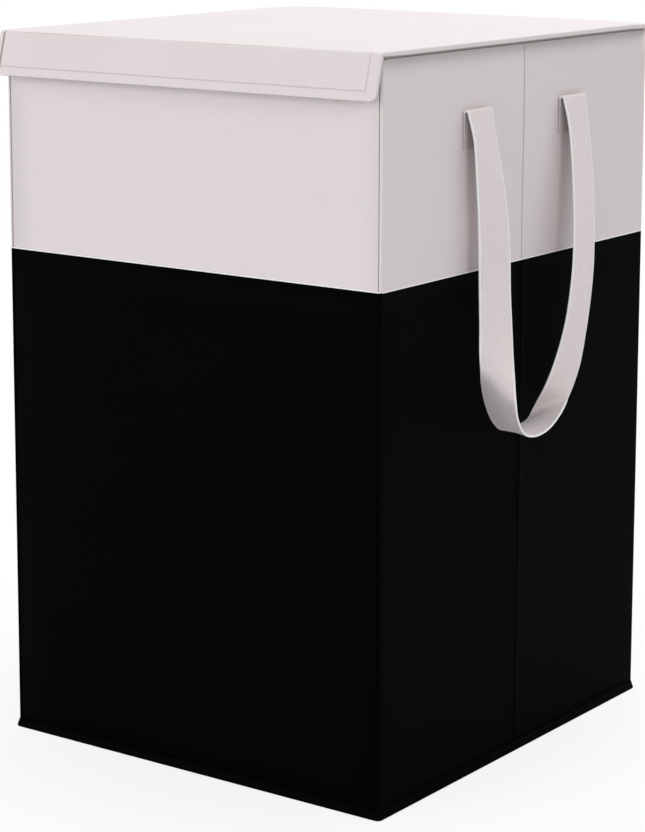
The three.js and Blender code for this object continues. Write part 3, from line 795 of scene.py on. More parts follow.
class HAMPER_OT_mouth(HamperPiece, bpy.types.Operator):
    """Build the lining of the walls and the binding round the mouth"""
    bl_idname = "hamper.mouth"
    bl_label = "Mouth"

    def build(self, sizes):
        half_w, half_d = LINING_HIGH.x, LINING_HIGH.y
        z0, z1 = LINING_LOW.z, LINING_HIGH.z
        bm = wall_sheet(sizes, half_w, half_d, z0, z1, spread(z0, z1, WALL_STEP), LINING_RADIUS, False)
        inside = cover_relief(sizes, half_w, half_d, z0, z1)
        press_relief(bm, lambda place, out: (min(0.0, inside(place, out)[0]), 0))
        lining = thicken(piece_from(bm, "lining_cloth", look("inner_cloth"), CLOTH_SHARP), sizes.thin_cloth)
        carry(lining, BODY, "inner_cloth", "lining")

        inner = HALF_W + LINING_LOW.x + BINDING_OVERLAP
        foot, top = RIM_LOW.z, RIM_HIGH.z
        section = [
            (0.2 * MM, top - 0.7 * MM), (0, top - 0.5 * MM), (0.5 * MM, top),
            (inner - 0.5 * MM, top), (inner, top - 0.5 * MM), (inner, foot + 0.4 * MM),
            (inner - 0.3 * MM, foot), (inner - 0.8 * MM, foot), (inner - 0.8 * MM, top - 0.8 * MM),
        ]
        bm = bmesh.new()
        swept_band(bm, (-HALF_W, HALF_W, -HALF_D, HALF_D), section, BINDING_RADIUS, CORNER_STEPS)
        binding = piece_from(bm, "rim_binding_band", look("inner_cloth"), BOUND_SHARP)
        carry(binding, BODY, "pale_cloth", "rim_binding")

        w, d, z = HALF_W - inner, HALF_D - inner, foot + BINDING_STITCH_RISE
        corners = [(-w, -d, z), (w, -d, z), (w, d, z), (-w, d, z)]
        facings = [(0, 1, 0), (-1, 0, 0), (0, -1, 0), (1, 0, 0)]
        rows = zip(zip(corners, corners[1:] + corners[:1]), facings)
        sew("rim_stitching", "inner_thread", BODY, "inner_cloth", sizes, rows)


# Inside

BOARD_CALM = 30 * MM            # from a board's edge to where its face is fully uneven
BOARD_RATE = 11
BASE_EDGE, BASE_SWELL = 1 * MM, 0.3 * MM
DIVIDER_EDGE, DIVIDER_SWELL, DIVIDER_INSET = 0.9 * MM, 0.25 * MM, 7 * MM
STRIP_EDGE, STRIP_SWELL, STRIP_STEP = 0.5 * MM, 0.15 * MM, 12 * MM


def padded_board(box_low, box_high, edge, step, swell):
    """Cloth-covered board: a slab with soft edges and a slightly uneven face."""
    bm = bmesh.new()
    middle, size = (box_low + box_high) / 2, box_high - box_low
    bmesh.ops.create_cube(bm, size=1, matrix=Matrix.Translation(middle) @ Matrix.Diagonal((*size, 1)))
    bmesh.ops.bevel(bm, geom=list(bm.edges), offset=edge, offset_type="OFFSET", segments=3,
                    profile=0.5, affect="EDGES", material=-1)
    thin = min(range(3), key=lambda axis: size[axis])
    for axis in range(3):
        if axis != thin:
            cut_rows(bm, axis, spread(box_low[axis] + 4 * edge, box_high[axis] - 4 * edge, step))
    for vert in bm.verts:
        side = vert.co[thin] - middle[thin]
        inner = min(size[axis] / 2 - abs(vert.co[axis] - middle[axis]) for axis in range(3) if axis != thin)
        calm = ease(inner, 2 * edge, BOARD_CALM)
        hollow = swell * calm * (0.5 + 0.5 * noise.noise(vert.co * BOARD_RATE))
        vert.co[thin] -= math.copysign(hollow, side)
    return bm


class HAMPER_OT_inside(HamperPiece, bpy.types.Operator):
    """Build the base board, the divider and the strips that hold it"""
    bl_idname = "hamper.inside"
    bl_label = "Inside"

    def build(self, sizes):
        low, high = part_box("base_board")
        bm = padded_board(low, high, BASE_EDGE, WALL_STEP, BASE_SWELL)
        base = piece_from(bm, "base_board_cover", look("inner_cloth"), CLOTH_SHARP)
        carry(base, BODY, "inner_cloth", "base_board")

        low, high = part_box("divider_cover")
        bm = padded_board(low, high, DIVIDER_EDGE, WALL_STEP, DIVIDER_SWELL)
        divider = piece_from(bm, "divider_cloth", look("inner_cloth"), CLOTH_SHARP)
        carry(divider, BODY, "inner_cloth", "divider_cover", "divider_board")

        x0, x1 = low.x + DIVIDER_INSET, high.x - DIVIDER_INSET
        z0, z1 = low.z + DIVIDER_INSET, high.z - DIVIDER_INSET
        rows = [([(x, face * high.y, z) for x, z in ((x0, z0), (x1, z0), (x1, z1), (x0, z1))], (0, face, 0))
                for face in (-1, 1)]
        sew("divider_stitching", "inner_thread", BODY, "inner_cloth", sizes, rows, closed=True)

        for side, _ in SIDES:
            low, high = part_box(f"divider_strip_{side}")
            bm = padded_board(low, high, STRIP_EDGE, STRIP_STEP, STRIP_SWELL)
            strip = piece_from(bm, f"hook_strip_{side}", look("hook_and_loop"), BOUND_SHARP)
            carry(strip, BODY, "hook_and_loop", f"divider_strip_{side}")


BAG_CORNER = 22 * MM
BAG_ROUND = 14 * MM             # radius between a bag's floor and its sides
BAG_STEPS, BAG_ROUND_STEPS = 8, 5
BAG_FLOOR_STEP, BAG_WALL_STEP = 12 * MM, 11 * MM
BAG_FLOOR_SAG, BAG_FLOOR_RATE = 1.6 * MM, 26
BAG_FLOOR_TOP = 2 * MM          # what lies no higher than this over the floor sags with it
FOLD_FOOT, FOLD_FADE = 6 * MM, 90 * MM     # the folds start so far over the floor, and come and go in this
FOLD_TOP_Z = 500 * MM
FOLD_WAVE, FOLD_INWARDS = 1.8 * MM, 2.4 * MM
FOLDS_ROUND, FOLD_DRIFT_RATE = 9, 3         # so many folds round a bag, which wander at this rate
FOLD_RATE, FOLD_RATE_UP = 14, 5             # and loose dents between them, long in the upright way
HEM_OUT = 1.2 * MM              # the hem's outer face from the bag's
HEM_LIP = 4.2 * MM              # how far the hem is turned in over the bag's edge
HEM_STITCH_DROP = 13 * MM
HEM_STITCH_END = BAG_CORNER + 2 * MM    # from the bag's corner to the ends of a row of stitches


def bag_relief(low, middle_y):
    """Loose upright folds of a liner bag, calm at the hem, behind the handles and at the floor."""
    def relief(place, out):
        round_about = math.atan2(place.y - middle_y, place.x)
        calm = ease(place.z, low.z + FOLD_FOOT, low.z + FOLD_FADE)
        calm *= 1 - ease(place.z, FOLD_TOP_Z - FOLD_FADE, FOLD_TOP_Z)
        drift = 3 * noise.noise(place * FOLD_DRIFT_RATE)
        wave = math.sin(round_about * FOLDS_ROUND + drift) * 0.5
        wave += noise.noise(Vector((place.x * FOLD_RATE, place.y * FOLD_RATE, place.z * FOLD_RATE_UP)))
        return calm * (FOLD_WAVE * wave - FOLD_INWARDS), 0
    return relief


class HAMPER_OT_bags(HamperPiece, bpy.types.Operator):
    """Build the two liner bags with their hems"""
    bl_idname = "hamper.bags"
    bl_label = "Liner bags"

    def build(self, sizes):
        for which in BINS:
            self.build_bag(sizes, which)

    def build_bag(self, sizes, which):
        """One bag with its hem and the stitches of the hem."""
        low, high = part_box(f"{which}_bag")
        bm = bmesh.new()
        box = (low.x + BAG_ROUND, high.x - BAG_ROUND, low.y + BAG_ROUND, high.y - BAG_ROUND)
        edges = ring(bm, box, low.z, (BAG_CORNER - BAG_ROUND,) * 4, BAG_STEPS)
        bmesh.ops.contextual_create(bm, geom=edges)
        cut_rows(bm, X_AXIS, spread(box[0], box[1], BAG_FLOOR_STEP))
        cut_rows(bm, Y_AXIS, spread(box[2], box[3], BAG_FLOOR_STEP))
        edges = [edge for edge in bm.edges if edge.is_boundary]
        out_at = plan_direction(box, (BAG_CORNER - BAG_ROUND,) * 4)
        edges = turned(bm, edges, out_at, BAG_ROUND, BAG_ROUND_STEPS, 1)
        raised(bm, edges, Vector((0, 0, high.z - low.z - BAG_ROUND)))
        cut_rows(bm, Z_AXIS, spread(low.z + BAG_ROUND, FOLD_TOP_Z, BAG_WALL_STEP))
        face_out(bm, (low + high) / 2)
        press_relief(bm, bag_relief(low, (low.y + high.y) / 2))
        for vert in bm.verts:
            if vert.co.z < low.z + BAG_FLOOR_TOP:
                vert.co.z += BAG_FLOOR_SAG * (0.5 + 0.5 * noise.noise(vert.co * BAG_FLOOR_RATE))
        bag = thicken(piece_from(bm, f"{which}_bag_cloth", look("bag_cloth"), CLOTH_SHARP), sizes.thin_cloth)
        carry(bag, BODY, "bag_cloth", f"{which}_bag")

        hem_low, hem_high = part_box(f"{which}_bag_hem")
        foot, top = hem_low.z, hem_high.z
        lip = 2 * HEM_OUT + sizes.thin_cloth
        section = [
            (0.4 * MM, foot), (0, foot + 0.4 * MM), (0, top - 0.2 * MM), (0.6 * MM, top + 0.5 * MM),
            (lip - 0.6 * MM, top + 0.5 * MM), (lip, top - 0.2 * MM), (lip, top - HEM_LIP),
            (lip - 0.7 * MM, top - HEM_LIP), (lip - 0.7 * MM, top), (HEM_OUT, top), (HEM_OUT, foot),
        ]
        bm = bmesh.new()
        box = (hem_low.x, hem_high.x, hem_low.y, hem_high.y)
        swept_band(bm, box, section, BAG_CORNER + HEM_OUT, BAG_STEPS)
        hem = piece_from(bm, f"{which}_bag_hem_band", look("inner_cloth"), BOUND_SHARP)
        carry(hem, BODY, "inner_cloth", f"{which}_bag_hem")

        z = top - HEM_STITCH_DROP
        inset = sizes.thin_cloth
        x0, x1, y0, y1 = low.x + inset, high.x - inset, low.y + inset, high.y - inset
        left, right, front, rear = (x0 + HEM_STITCH_END, x1 - HEM_STITCH_END,
                                    y0 + HEM_STITCH_END, y1 - HEM_STITCH_END)
        rows = [([(left, y, z), (right, y, z)], (0, facing, 0)) for y, facing in ((y0, 1), (y1, -1))]
        rows += [([(x, front, z), (x, rear, z)], (facing, 0, 0)) for x, facing in ((x0, 1), (x1, -1))]
        sew(f"{which}_bag_stitching", "inner_thread", BODY, "bag_cloth", sizes, rows)


# Lid and flap

FLAP_FLARE = math.radians(15)
FLAP_LENGTH = 41 * MM
FLAP_T = 3.4 * MM
FLAP_FACE_OUT = 3.7 * MM        # the flap's outer face from its fold line
LID_EDGE = 1.3 * MM             # radius of the cloth where it turns down round the lid's edge
EDGE_STEPS, ROLL_STEPS = 4, 8
LID_CORNERS = 8 * MM
FLAP_CORNERS = 6.5 * MM
FLAP_LEFT_CORNER = 8.5 * MM
EDGE_CALM = 12 * MM             # no even cuts so near to the edges
FLAP_ROW_STEP = 4 * MM
HEM_ROW_SHARES = (-1.6, -1, 0, 1, 2)
GAP_ROW_SHARES = (-1.6, -1, -0.5, 0, 0.5, 1, 1.6)
HEM_DEPTH, HEM_PAINTED_SHADE = 0.6, 0.25        # of a seam's depth, and of the painted shade in a fold
GAP_DEPTH = 1.4
LID_CORNER_STEPS = 6
LID_CALM = 60 * MM              # the lid's unevenness is full so far from its edges
INSIDE_BODY = Vector((0, 0, 0.3))
MITRE_END_SHARE = 0.3           # of the corner's radius, from its point to the end of the mitre
LID_WAVE, LID_WAVE_RATE = 0.5 * MM, 8
REAR_DROP, REAR_REACH = 0.9 * MM, 40 * MM       # the lid's rear corners bend down a little
STRIP_GAP = 1.1 * MM            # half the width of the gap beside the folded strip
PAINTED_SHADOW_STRIP = 1 * MM            # height of the strip of painted shadow along the foot of the turned edge
# How dark that painted shadow is, as a share of the painted shade in a fold
PAINTED_SHADOW_SHARE = 0.7
FLAP_BLEND = (0.4 * MM, -0.9 * MM)      # where the cloth starts to follow the flap, and only follows it


class FoldedSheet:
    """The lid's cloth as it is cut flat, and how it folds: the lid lies level, and the flap turns down
    over the front edge. Flat places are (x, -s, h): s runs from the lid's back edge to the flap's tip,
    and h is the height over the cloth's face."""

    def __init__(self, sizes):
        self.back_y = LID_HIGH.y
        self.radius = sizes.roll_radius
        self.turn = math.pi / 2 - FLAP_FLARE
        corner_y = FLAP_FOLD_Y - FLAP_FACE_OUT / math.cos(FLAP_FLARE)
        tangent = self.radius * math.tan(self.turn / 2)
        self.corner_along = (FLAP_FOLD_Y - corner_y) * math.sin(FLAP_FLARE)
        self.roll_start = self.back_y - corner_y - tangent
        self.roll_end = self.roll_start + self.radius * self.turn
        self.tip = self.roll_end + FLAP_LENGTH - self.corner_along - tangent
        self.flap_dir = Vector((0, -math.sin(FLAP_FLARE), -math.cos(FLAP_FLARE)))
        self.flap_out = Vector((0, -math.cos(FLAP_FLARE), math.sin(FLAP_FLARE)))

    def fold(self, flat):
        """The place in the folded cloth of a flat place."""
        s, h = -flat.y, flat.z
        if s <= self.roll_start:
            return Vector((flat.x, self.back_y - s, LID_TOP_Z + h))
        centre = Vector((0, self.back_y - self.roll_start, LID_TOP_Z - self.radius))
        turn = min((s - self.roll_start) / self.radius, self.turn)
        place = centre + Vector((0, -math.sin(turn), math.cos(turn))) * (self.radius + h)
        if s > self.roll_end:
            place += self.flap_dir * (s - self.roll_end)
        place.x = flat.x
        return place


class HAMPER_OT_lid_cloth(HamperPiece, bpy.types.Operator):
    """Build the cloth of the lid and its flap as one folded sheet, with the flap's hem stitches"""
    bl_idname = "hamper.lid_cloth"
    bl_label = "Lid and flap cloth"

    def build(self, sizes):
        sheet = FoldedSheet(sizes)
        half = LID_HIGH.x
        box = (-half + LID_EDGE, half - LID_EDGE, -sheet.tip + LID_EDGE, -LID_EDGE)
        corners = (FLAP_LEFT_CORNER, FLAP_CORNERS, LID_CORNERS, LID_CORNERS)
        radii = [corner - LID_EDGE for corner in corners]
        bm = bmesh.new()
        edges = ring(bm, box, 0, radii, LID_CORNER_STEPS)
        bmesh.ops.contextual_create(bm, geom=edges)
        groove = sizes.seam_width / 2
        hem, right_hem = ([middle + groove * share for share in HEM_ROW_SHARES]
                          for middle in (sizes.hem, sizes.end_hem))
        left_hem = [sizes.end_strip + STRIP_GAP * share for share in GAP_ROW_SHARES]
        cut_rows(bm, X_AXIS, spread(-half + EDGE_CALM, half - EDGE_CALM, WALL_STEP))
        cut_rows(bm, X_AXIS, [half - place for place in right_hem] + [place - half for place in left_hem])
        cut_rows(bm, Y_AXIS, [-sheet.tip + place for place in hem])
        roll = sheet.roll_end - sheet.roll_start
        rolls = [sheet.roll_start + roll * i / ROLL_STEPS for i in range(ROLL_STEPS + 1)]
        cut_rows(bm, Y_AXIS, [-s for s in rolls])
        cut_rows(bm, Y_AXIS, [-s for s in spread(sheet.roll_end, sheet.tip - EDGE_CALM, FLAP_ROW_STEP)])
        cut_rows(bm, Y_AXIS, [-s for s in spread(EDGE_CALM, sheet.roll_start - FLAP_ROW_STEP, WALL_STEP)])
        self.shape_face(bm, sizes, sheet, half)
        self.wrap_edges(bm, sheet, box, radii)
        for vert in bm.verts:
            vert.co = sheet.fold(vert.co)
        face_out(bm, INSIDE_BODY)
        cloth = piece_from(bm, "lid_and_flap_cloth", look("pale_cloth"), CLOTH_SHARP)
        thicken(cloth, sizes.thin_cloth, even=False)
        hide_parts("lid_cover", "flap_cover")
        fold = Vector((0, FLAP_FOLD_Y, LID_TOP_Z))
        start, end = (fold + Vector((0, y, 0)) for y in FLAP_BLEND)
        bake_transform(cloth, LID, FLAP, start=start, end=end)
        self.sew_hem(sizes, sheet, half)

    def shape_face(self, bm, sizes, sheet, half):
        """Presses the hem's sewn lines into the flap, paints shade in them and in the gap beside the folded
        strip, and gives the lid its slight unevenness.
        """
        fold = bm.verts.layers.float.new(PAINTED_SHADE_ATTRIBUTE)
        groove = sizes.seam_width / 2
        for vert in bm.verts:
            s = -vert.co.y
            tip, right, left = sheet.tip - s, half - vert.co.x, half + vert.co.x
            edge = min(right, left, tip)
            above = tip > sizes.hem - groove / 2
            between = right > sizes.end_hem - groove / 2 and left > sizes.end_strip - groove / 2
            faint = bump_at(tip, sizes.hem, groove) * between
            faint = max(faint, bump_at(right, sizes.end_hem, groove) * above)
            gap = min(1, 2 * bump_at(left, sizes.end_strip, STRIP_GAP)) * above
            on_flap = ease(s, sheet.roll_start + 2 * MM, sheet.roll_end)
            # Painted shade: faint in the hem's sewn lines, deep in the gap beside the folded strip
            vert[fold] = on_flap * max(faint * HEM_PAINTED_SHADE, gap)
            height = -sizes.seam_depth * on_flap * max(faint * HEM_DEPTH, gap * GAP_DEPTH)
            calm = ease(min(edge, s), LID_CORNERS, LID_CALM)
            place = Vector((vert.co.x * LID_WAVE_RATE, vert.co.y * LID_WAVE_RATE, 3))
            height += LID_WAVE * calm * noise.noise(place)
            rear = ease(abs(vert.co.x), half - REAR_REACH, half) * (1 - ease(s, 0, REAR_REACH))
            height -= REAR_DROP * rear
            vert.co.z += height

    def wrap_edges(self, bm, sheet, box, radii):
        """Turns the cloth down round the edge of its board, all the way round, and paints shadow on a narrow
        strip at its foot.
        """
        edges = [edge for edge in bm.edges if edge.is_boundary]
        edges = turned(bm, edges, plan_direction(box, radii), LID_EDGE, EDGE_STEPS, -1)
        lid_depth = LID_HIGH.z - LID_LOW.z - LID_EDGE
        flap_depth = FLAP_T - LID_EDGE

        def down(place):
            share = ease(-place.y, sheet.roll_start - 4 * MM, sheet.roll_end)
            return Vector((0, 0, PAINTED_SHADOW_STRIP - (lid_depth + (flap_depth - lid_depth) * share)))
        edges = raised(bm, edges, down)
        fold = bm.verts.layers.float[PAINTED_SHADE_ATTRIBUTE]
        # Painted shadow on the lowest strip of the turned edge
        for step in (0.25, 0.75):
            edges = raised(bm, edges, Vector((0, 0, -step * PAINTED_SHADOW_STRIP)))
            for vert in {vert for edge in edges for vert in edge.verts}:
                vert[fold] = PAINTED_SHADOW_SHARE

    def sew_hem(self, sizes, sheet, half):
        """Sews the hem of the flap, and the mitre at its right corner."""
        depth = -sizes.seam_depth * HEM_DEPTH
        left, right, last = -half + sizes.end_strip, half - sizes.end_hem, sheet.tip - sizes.hem
        hem = [(left, -last, depth), (right, -last, depth), (right, -sheet.roll_end, depth)]
        reach = MITRE_END_SHARE * FLAP_CORNERS
        mitre = [(right, -last, 0), (half - reach, -(sheet.tip - reach), -0.1 * MM)]
        rows = [([sheet.fold(Vector(place)) for place in path], sheet.flap_out) for path in (hem, mitre)]
        sew("flap_stitching", "pale_thread", FLAP, "pale_cloth", sizes, rows)


LINING_GAP = 0.3 * MM           # from the turned cloth to its lining
LID_LINING_BEVEL, FLAP_LINING_BEVEL = 0.5 * MM, 0.4 * MM
LID_LINING_TOP_GAP, FLAP_LINING_RISE = 1.2 * MM, 0.7 * MM
LID_LINING_FRONT_IN, LID_LINING_FRONT_CORNERS = 0.5 * MM, 2 * MM
FLAP_LINING_ROOT, FLAP_LINING_BEHIND = 3 * MM, 0.1 * MM     # up past the roll, and back past the flap
FLAP_LINING_CORNERS = (5 * MM, 5 * MM, 1 * MM, 1 * MM)
LINING_EDGE_CALM, FLAP_LINING_EDGE_CALM = 5 * MM, 8 * MM
LINING_STITCH_INSET = 9 * MM
HINGE_STITCH_RISES, HINGE_STITCH_END = (3 * MM, 6 * MM), 3 * MM
HINGE_ROW_STEP, HINGE_INSET = 1 * MM, 0.4 * MM
HINGE_BLEND_END = 0.5 * MM      # below the tape's top, from where it only follows the lid
HINGE_LEAN, HINGE_LEAN_RISE = 1.5 * MM, 2.5 * MM    # the tape leans in over so much of its height


class HAMPER_OT_lid_linings(HamperPiece, bpy.types.Operator):
    """Build the linings under the lid and behind the flap, and the cloth hinge"""
    bl_idname = "hamper.lid_linings"
    bl_label = "Lid linings and hinge"

    def build(self, sizes):
        self.line_lid(sizes)
        self.line_flap(sizes)
        self.hinge(sizes)

    def line_lid(self, sizes):
        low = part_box("lid_lining")[0]
        bm = bmesh.new()
        inset = sizes.thin_cloth + LINING_GAP
        x1, y0, y1 = LID_HIGH.x - inset, LID_LOW.y + LID_LINING_FRONT_IN, LID_HIGH.y - inset
        box = (-x1, x1, y0, y1)
        corners = (LID_LINING_FRONT_CORNERS, LID_LINING_FRONT_CORNERS, LID_CORNERS, LID_CORNERS)
        rise = LID_TOP_Z - sizes.thin_cloth - low.z - LID_LINING_TOP_GAP
        plate(bm, box, low.z + LID_LINING_BEVEL, corners, LID_CORNER_STEPS, rise, LID_LINING_BEVEL)
        cut_rows(bm, X_AXIS, spread(-x1 + LINING_EDGE_CALM, x1 - LINING_EDGE_CALM, WALL_STEP))
        cut_rows(bm, Y_AXIS, spread(y0 + LINING_EDGE_CALM, y1 - LINING_EDGE_CALM, WALL_STEP))
        face_out(bm)
        lining = piece_from(bm, "lid_lining_cloth", look("inner_cloth"), BOUND_SHARP)
        carry(lining, LID, "inner_cloth", "lid_lining")

        x, front, back = (x1 - LINING_STITCH_INSET, y0 + LINING_STITCH_INSET, y1 - LINING_STITCH_INSET)
        corners = [(-x, front, low.z), (x, front, low.z), (x, back, low.z), (-x, back, low.z)]
        rows = [(corners, (0, 0, -1))]
        sew("lid_stitching", "inner_thread", LID, "inner_cloth", sizes, rows, closed=True)

    def line_flap(self, sizes):
        sheet = FoldedSheet(sizes)
        half = LID_HIGH.x - sizes.thin_cloth - LINING_GAP
        tip, root = sheet.tip - sizes.thin_cloth - LINING_GAP, sheet.roll_end - FLAP_LINING_ROOT
        foot = -FLAP_T - FLAP_LINING_BEHIND
        bm = bmesh.new()
        box = (-half, half, -tip, -root)
        plate(bm, box, foot + FLAP_LINING_BEVEL, FLAP_LINING_CORNERS, CORNER_STEPS,
              FLAP_LINING_RISE, FLAP_LINING_BEVEL)
        cuts = half - FLAP_LINING_EDGE_CALM
        cut_rows(bm, X_AXIS, spread(-cuts, cuts, WALL_STEP))
        for vert in bm.verts:
            s, h = -vert.co.y, vert.co.z
            place = sheet.fold(Vector((vert.co.x, -sheet.roll_end, h)))
            vert.co = place + sheet.flap_dir * (s - sheet.roll_end)
        face_out(bm)
        lining = piece_from(bm, "flap_lining_cloth", look("inner_cloth"), BOUND_SHARP)
        carry(lining, FLAP, "inner_cloth", "flap_lining")

    def hinge(self, sizes):
        low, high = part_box("lid_hinge_tape")
        bm = bmesh.new()
        bmesh.ops.create_grid(bm, x_segments=1, y_segments=1, size=1, matrix=(
            Matrix.Translation((0, high.y, (low.z + high.z) / 2))
            @ Matrix.Diagonal((high.x, 1, (high.z - low.z) / 2 - HINGE_INSET, 1))
            @ Matrix.Rotation(math.pi / 2, 4, "X")
        ))
        cut_rows(bm, X_AXIS, spread(low.x, high.x, WALL_STEP))
        cut_rows(bm, Z_AXIS, spread(low.z, high.z, HINGE_ROW_STEP))
        for vert in bm.verts:
            over = ease(vert.co.z, high.z - HINGE_LEAN_RISE, high.z)
            vert.co.y -= HINGE_LEAN * over * over
        face_out(bm, Vector((0, 0, high.z)))
        tape = piece_from(bm, "lid_hinge_cloth", look("pale_cloth"), CLOTH_SHARP)
        thicken(tape, high.y - low.y, even=False)
        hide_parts("lid_hinge_tape")
        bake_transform(tape, BODY, LID, start=(0, high.y, RIM_HIGH.z), end=(0, high.y, high.z - HINGE_BLEND_END))

        left, right = low.x + HINGE_STITCH_END, high.x - HINGE_STITCH_END
        rows = [([(left, high.y, low.z + rise), (right, high.y, low.z + rise)], (0, 1, 0))
                for rise in HINGE_STITCH_RISES]
        sew("hinge_stitching", "pale_thread", BODY, "pale_cloth", sizes, rows)


# Webbing

def smooth_place(places, share):
    """A place on the smooth curve through the places, by the share of the spans that it has passed. It takes
    the spans' unequal lengths into account, so that no span overshoots."""
    spans = len(places) - 1
    index = min(int(share * spans), spans - 1)
    t = share * spans - index
    p1, p2 = places[index], places[index + 1]
    p0 = places[index - 1] if index > 0 else p1 * 2 - p2
    p3 = places[index + 2] if index + 2 <= spans else p2 * 2 - p1
    d0, d1, d2 = (max((b - a).length ** 0.5, 1e-6) for a, b in ((p0, p1), (p1, p2), (p2, p3)))
    m1 = ((p1 - p0) / d0 - (p2 - p0) / (d0 + d1) + (p2 - p1) / d1) * d1
    m2 = ((p2 - p1) / d1 - (p3 - p1) / (d1 + d2) + (p3 - p2) / d2) * d1
    return (p1 * (2 * t ** 3 - 3 * t ** 2 + 1) + m1 * (t ** 3 - 2 * t ** 2 + t)
            + p2 * (3 * t ** 2 - 2 * t ** 3) + m2 * (t ** 3 - t ** 2))


# Section of a band of webbing, as shares of half its width and half its thickness
SELVEDGE_SHARES = [
    (1, 0), (0.99, 0.62), (0.965, 0.95), (0.93, 1), (0.9, 0.84), (0.6, 0.9), (0.3, 0.92), (0, 0.92),
]


def band_section():
    """The whole section of a band, round from one edge to the other and back."""
    upper = list(SELVEDGE_SHARES)
    upper += [(-w, t) for w, t in reversed(SELVEDGE_SHARES[:-1])]
    return upper + [(w, -t) for w, t in upper[-2:0:-1]]


def webbing_band(frames, width, thickness, sewn=0):
    """A band of webbing through frames of (middle, wide direction, thick direction), closed at its ends.
    So many frames at either end get painted shadow: the sewn ends and a little past them."""
    section = band_section()
    bm = bmesh.new()
    station = bm.verts.layers.int.new("station")
    across = bm.verts.layers.float.new("across")
    along = bm.verts.layers.float.new("along")
    fold = bm.verts.layers.float.new(PAINTED_SHADE_ATTRIBUTE)
    loop = bmesh.ops.create_circle(bm, segments=len(section), radius=1)["verts"]
    for i, vert in enumerate(loop):
        vert[station] = i
        vert[across] = section[i][0] * width / 2

    def settle(verts, index, run):
        middle, wide, thick = frames[index]
        for vert in verts:
            w, t = section[vert[station]]
            vert.co = middle + wide * (w * width / 2) + thick * (t * thickness / 2)
            vert[along] = run
            # Painted shadow on the sewn ends and a little past them
            vert[fold] = min(index, len(frames) - 1 - index) < sewn
    settle(loop, 0, 0)
    edges = list(bm.edges)
    bmesh.ops.contextual_create(bm, geom=edges)
    run = 0.0
    for index in range(1, len(frames)):
        run += (frames[index][0] - frames[index - 1][0]).length
        made = bmesh.ops.extrude_edge_only(bm, edges=edges)["geom"]
        settle([item for item in made if isinstance(item, bmesh.types.BMVert)], index, run)
        edges = [item for item in made if isinstance(item, bmesh.types.BMEdge) and item.is_boundary]
    bmesh.ops.contextual_create(bm, geom=edges)
    bmesh.ops.recalc_face_normals(bm, faces=bm.faces)
    layer = bm.loops.layers.uv.new(CLOTH_UV)
    for face in bm.faces:
        for corner in face.loops:
            corner[layer].uv = (corner.vert[across], corner.vert[along])
    bm.verts.layers.int.remove(station)
    for name in ("across", "along"):
        bm.verts.layers.float.remove(bm.verts.layers.float[name])
    return bm


# The loop of the carrying handle by both edges of its band, in whole millimetres, fitted to its edges in the
# photograph: how far its front edge stands out from the wall, how far rearwards of the body's middle and how
# far below the fold, then the same of its rear edge. The frame's loop is a little simpler.
HANDLE_EDGES = (
    (11, -97, 23, 9, -59, 23),
    (14, -97, 56, 16, -59, 55),
    (15, -95, 88, 21, -58, 88),
    (16, -95, 120, 24, -58, 121),
    (18, -97, 152, 27, -61, 155),
    (22, -102, 182, 33, -67, 189),
    (26, -108, 200, 39, -74, 212),
    (25, -105, 215, 48, -85, 231),
    (18, -92, 231, 53, -91, 245),
    (14, -79, 251, 50, -82, 261),
    (12, -65, 268, 48, -67, 276),
    (10, -49, 279, 47, -47, 281),
    (8, -29, 283, 46, -25, 279),
    (7, -10, 283, 43, -3, 272),
    (6, 6, 280, 36, 20, 266),
    (9, 10, 270, 27, 40, 264),
    (20, 10, 250, 27, 48, 254),
    (27, 14, 228, 32, 50, 235),
    (32, 22, 196, 33, 58, 205),
    (32, 31, 164, 32, 67, 174),
    (29, 40, 133, 29, 76, 143),
    (20, 52, 72, 19, 90, 78),
    (11, 58, 22, 9, 96, 23),
)
HANDLE_FRONT_Y, HANDLE_REAR_Y = -79 * MM, 77 * MM
HANDLE_START_OUT = 5.7 * MM
HANDLE_START_DROP = 1.7 * MM
HANDLE_STEPS = 220
PATCH_MIDDLE_OUT = 1.2 * MM
PATCH_H = 31.5 * MM
PATCH_STITCH_INSET = 4 * MM
PATCH_STITCH_OUT = 0.46         # of the webbing's thickness, out from its middle
FOLD_STEPS = 12
FOLD_RUNS = 6
PATCH_SHADOW_FRAMES = 2                 # so many frames past the patch still get its painted shadow
FOLD_HEIGHT_SHARE = 1.15        # of the fold's half width
# How far from the wall the webbing starts to follow its loop, and from where it only follows it
HANDLE_BLEND = (2.2 * MM, 4.2 * MM)


def handle_frames(width):
    """Frames of the right handle from one sewn end to the other: patch, fold, loop, fold, patch."""
    fold_z = JOINTS["handle_right_swing"]["pos_m"][Z_AXIS]

    def at(out, along, down):
        return Vector((HALF_W + out, along, fold_z - down))

    edges = []
    for first, shift in ((0, -width / 2), (3, width / 2)):
        places = [at(*(part * MM for part in row[first:first + 3])) for row in HANDLE_EDGES]
        start, end = (at(HANDLE_START_OUT, y + shift, HANDLE_START_DROP)
                      for y in (HANDLE_FRONT_Y, HANDLE_REAR_Y))
        edges.append([start, *places, end])
    pairs = [[smooth_place(edge, i / HANDLE_STEPS) for edge in edges] for i in range(HANDLE_STEPS + 1)]
    middles = [(front + rear) / 2 for front, rear in pairs]
    loop = []
    for i, (front, rear) in enumerate(pairs):
        along = middles[min(i + 1, HANDLE_STEPS)] - middles[max(i - 1, 0)]
        wide = (rear - front) / width
        loop.append((middles[i], wide, along.cross(wide).normalized()))
    return sewn_end(at, HANDLE_FRONT_Y, 1) + loop + sewn_end(at, HANDLE_REAR_Y, -1)[::-1]


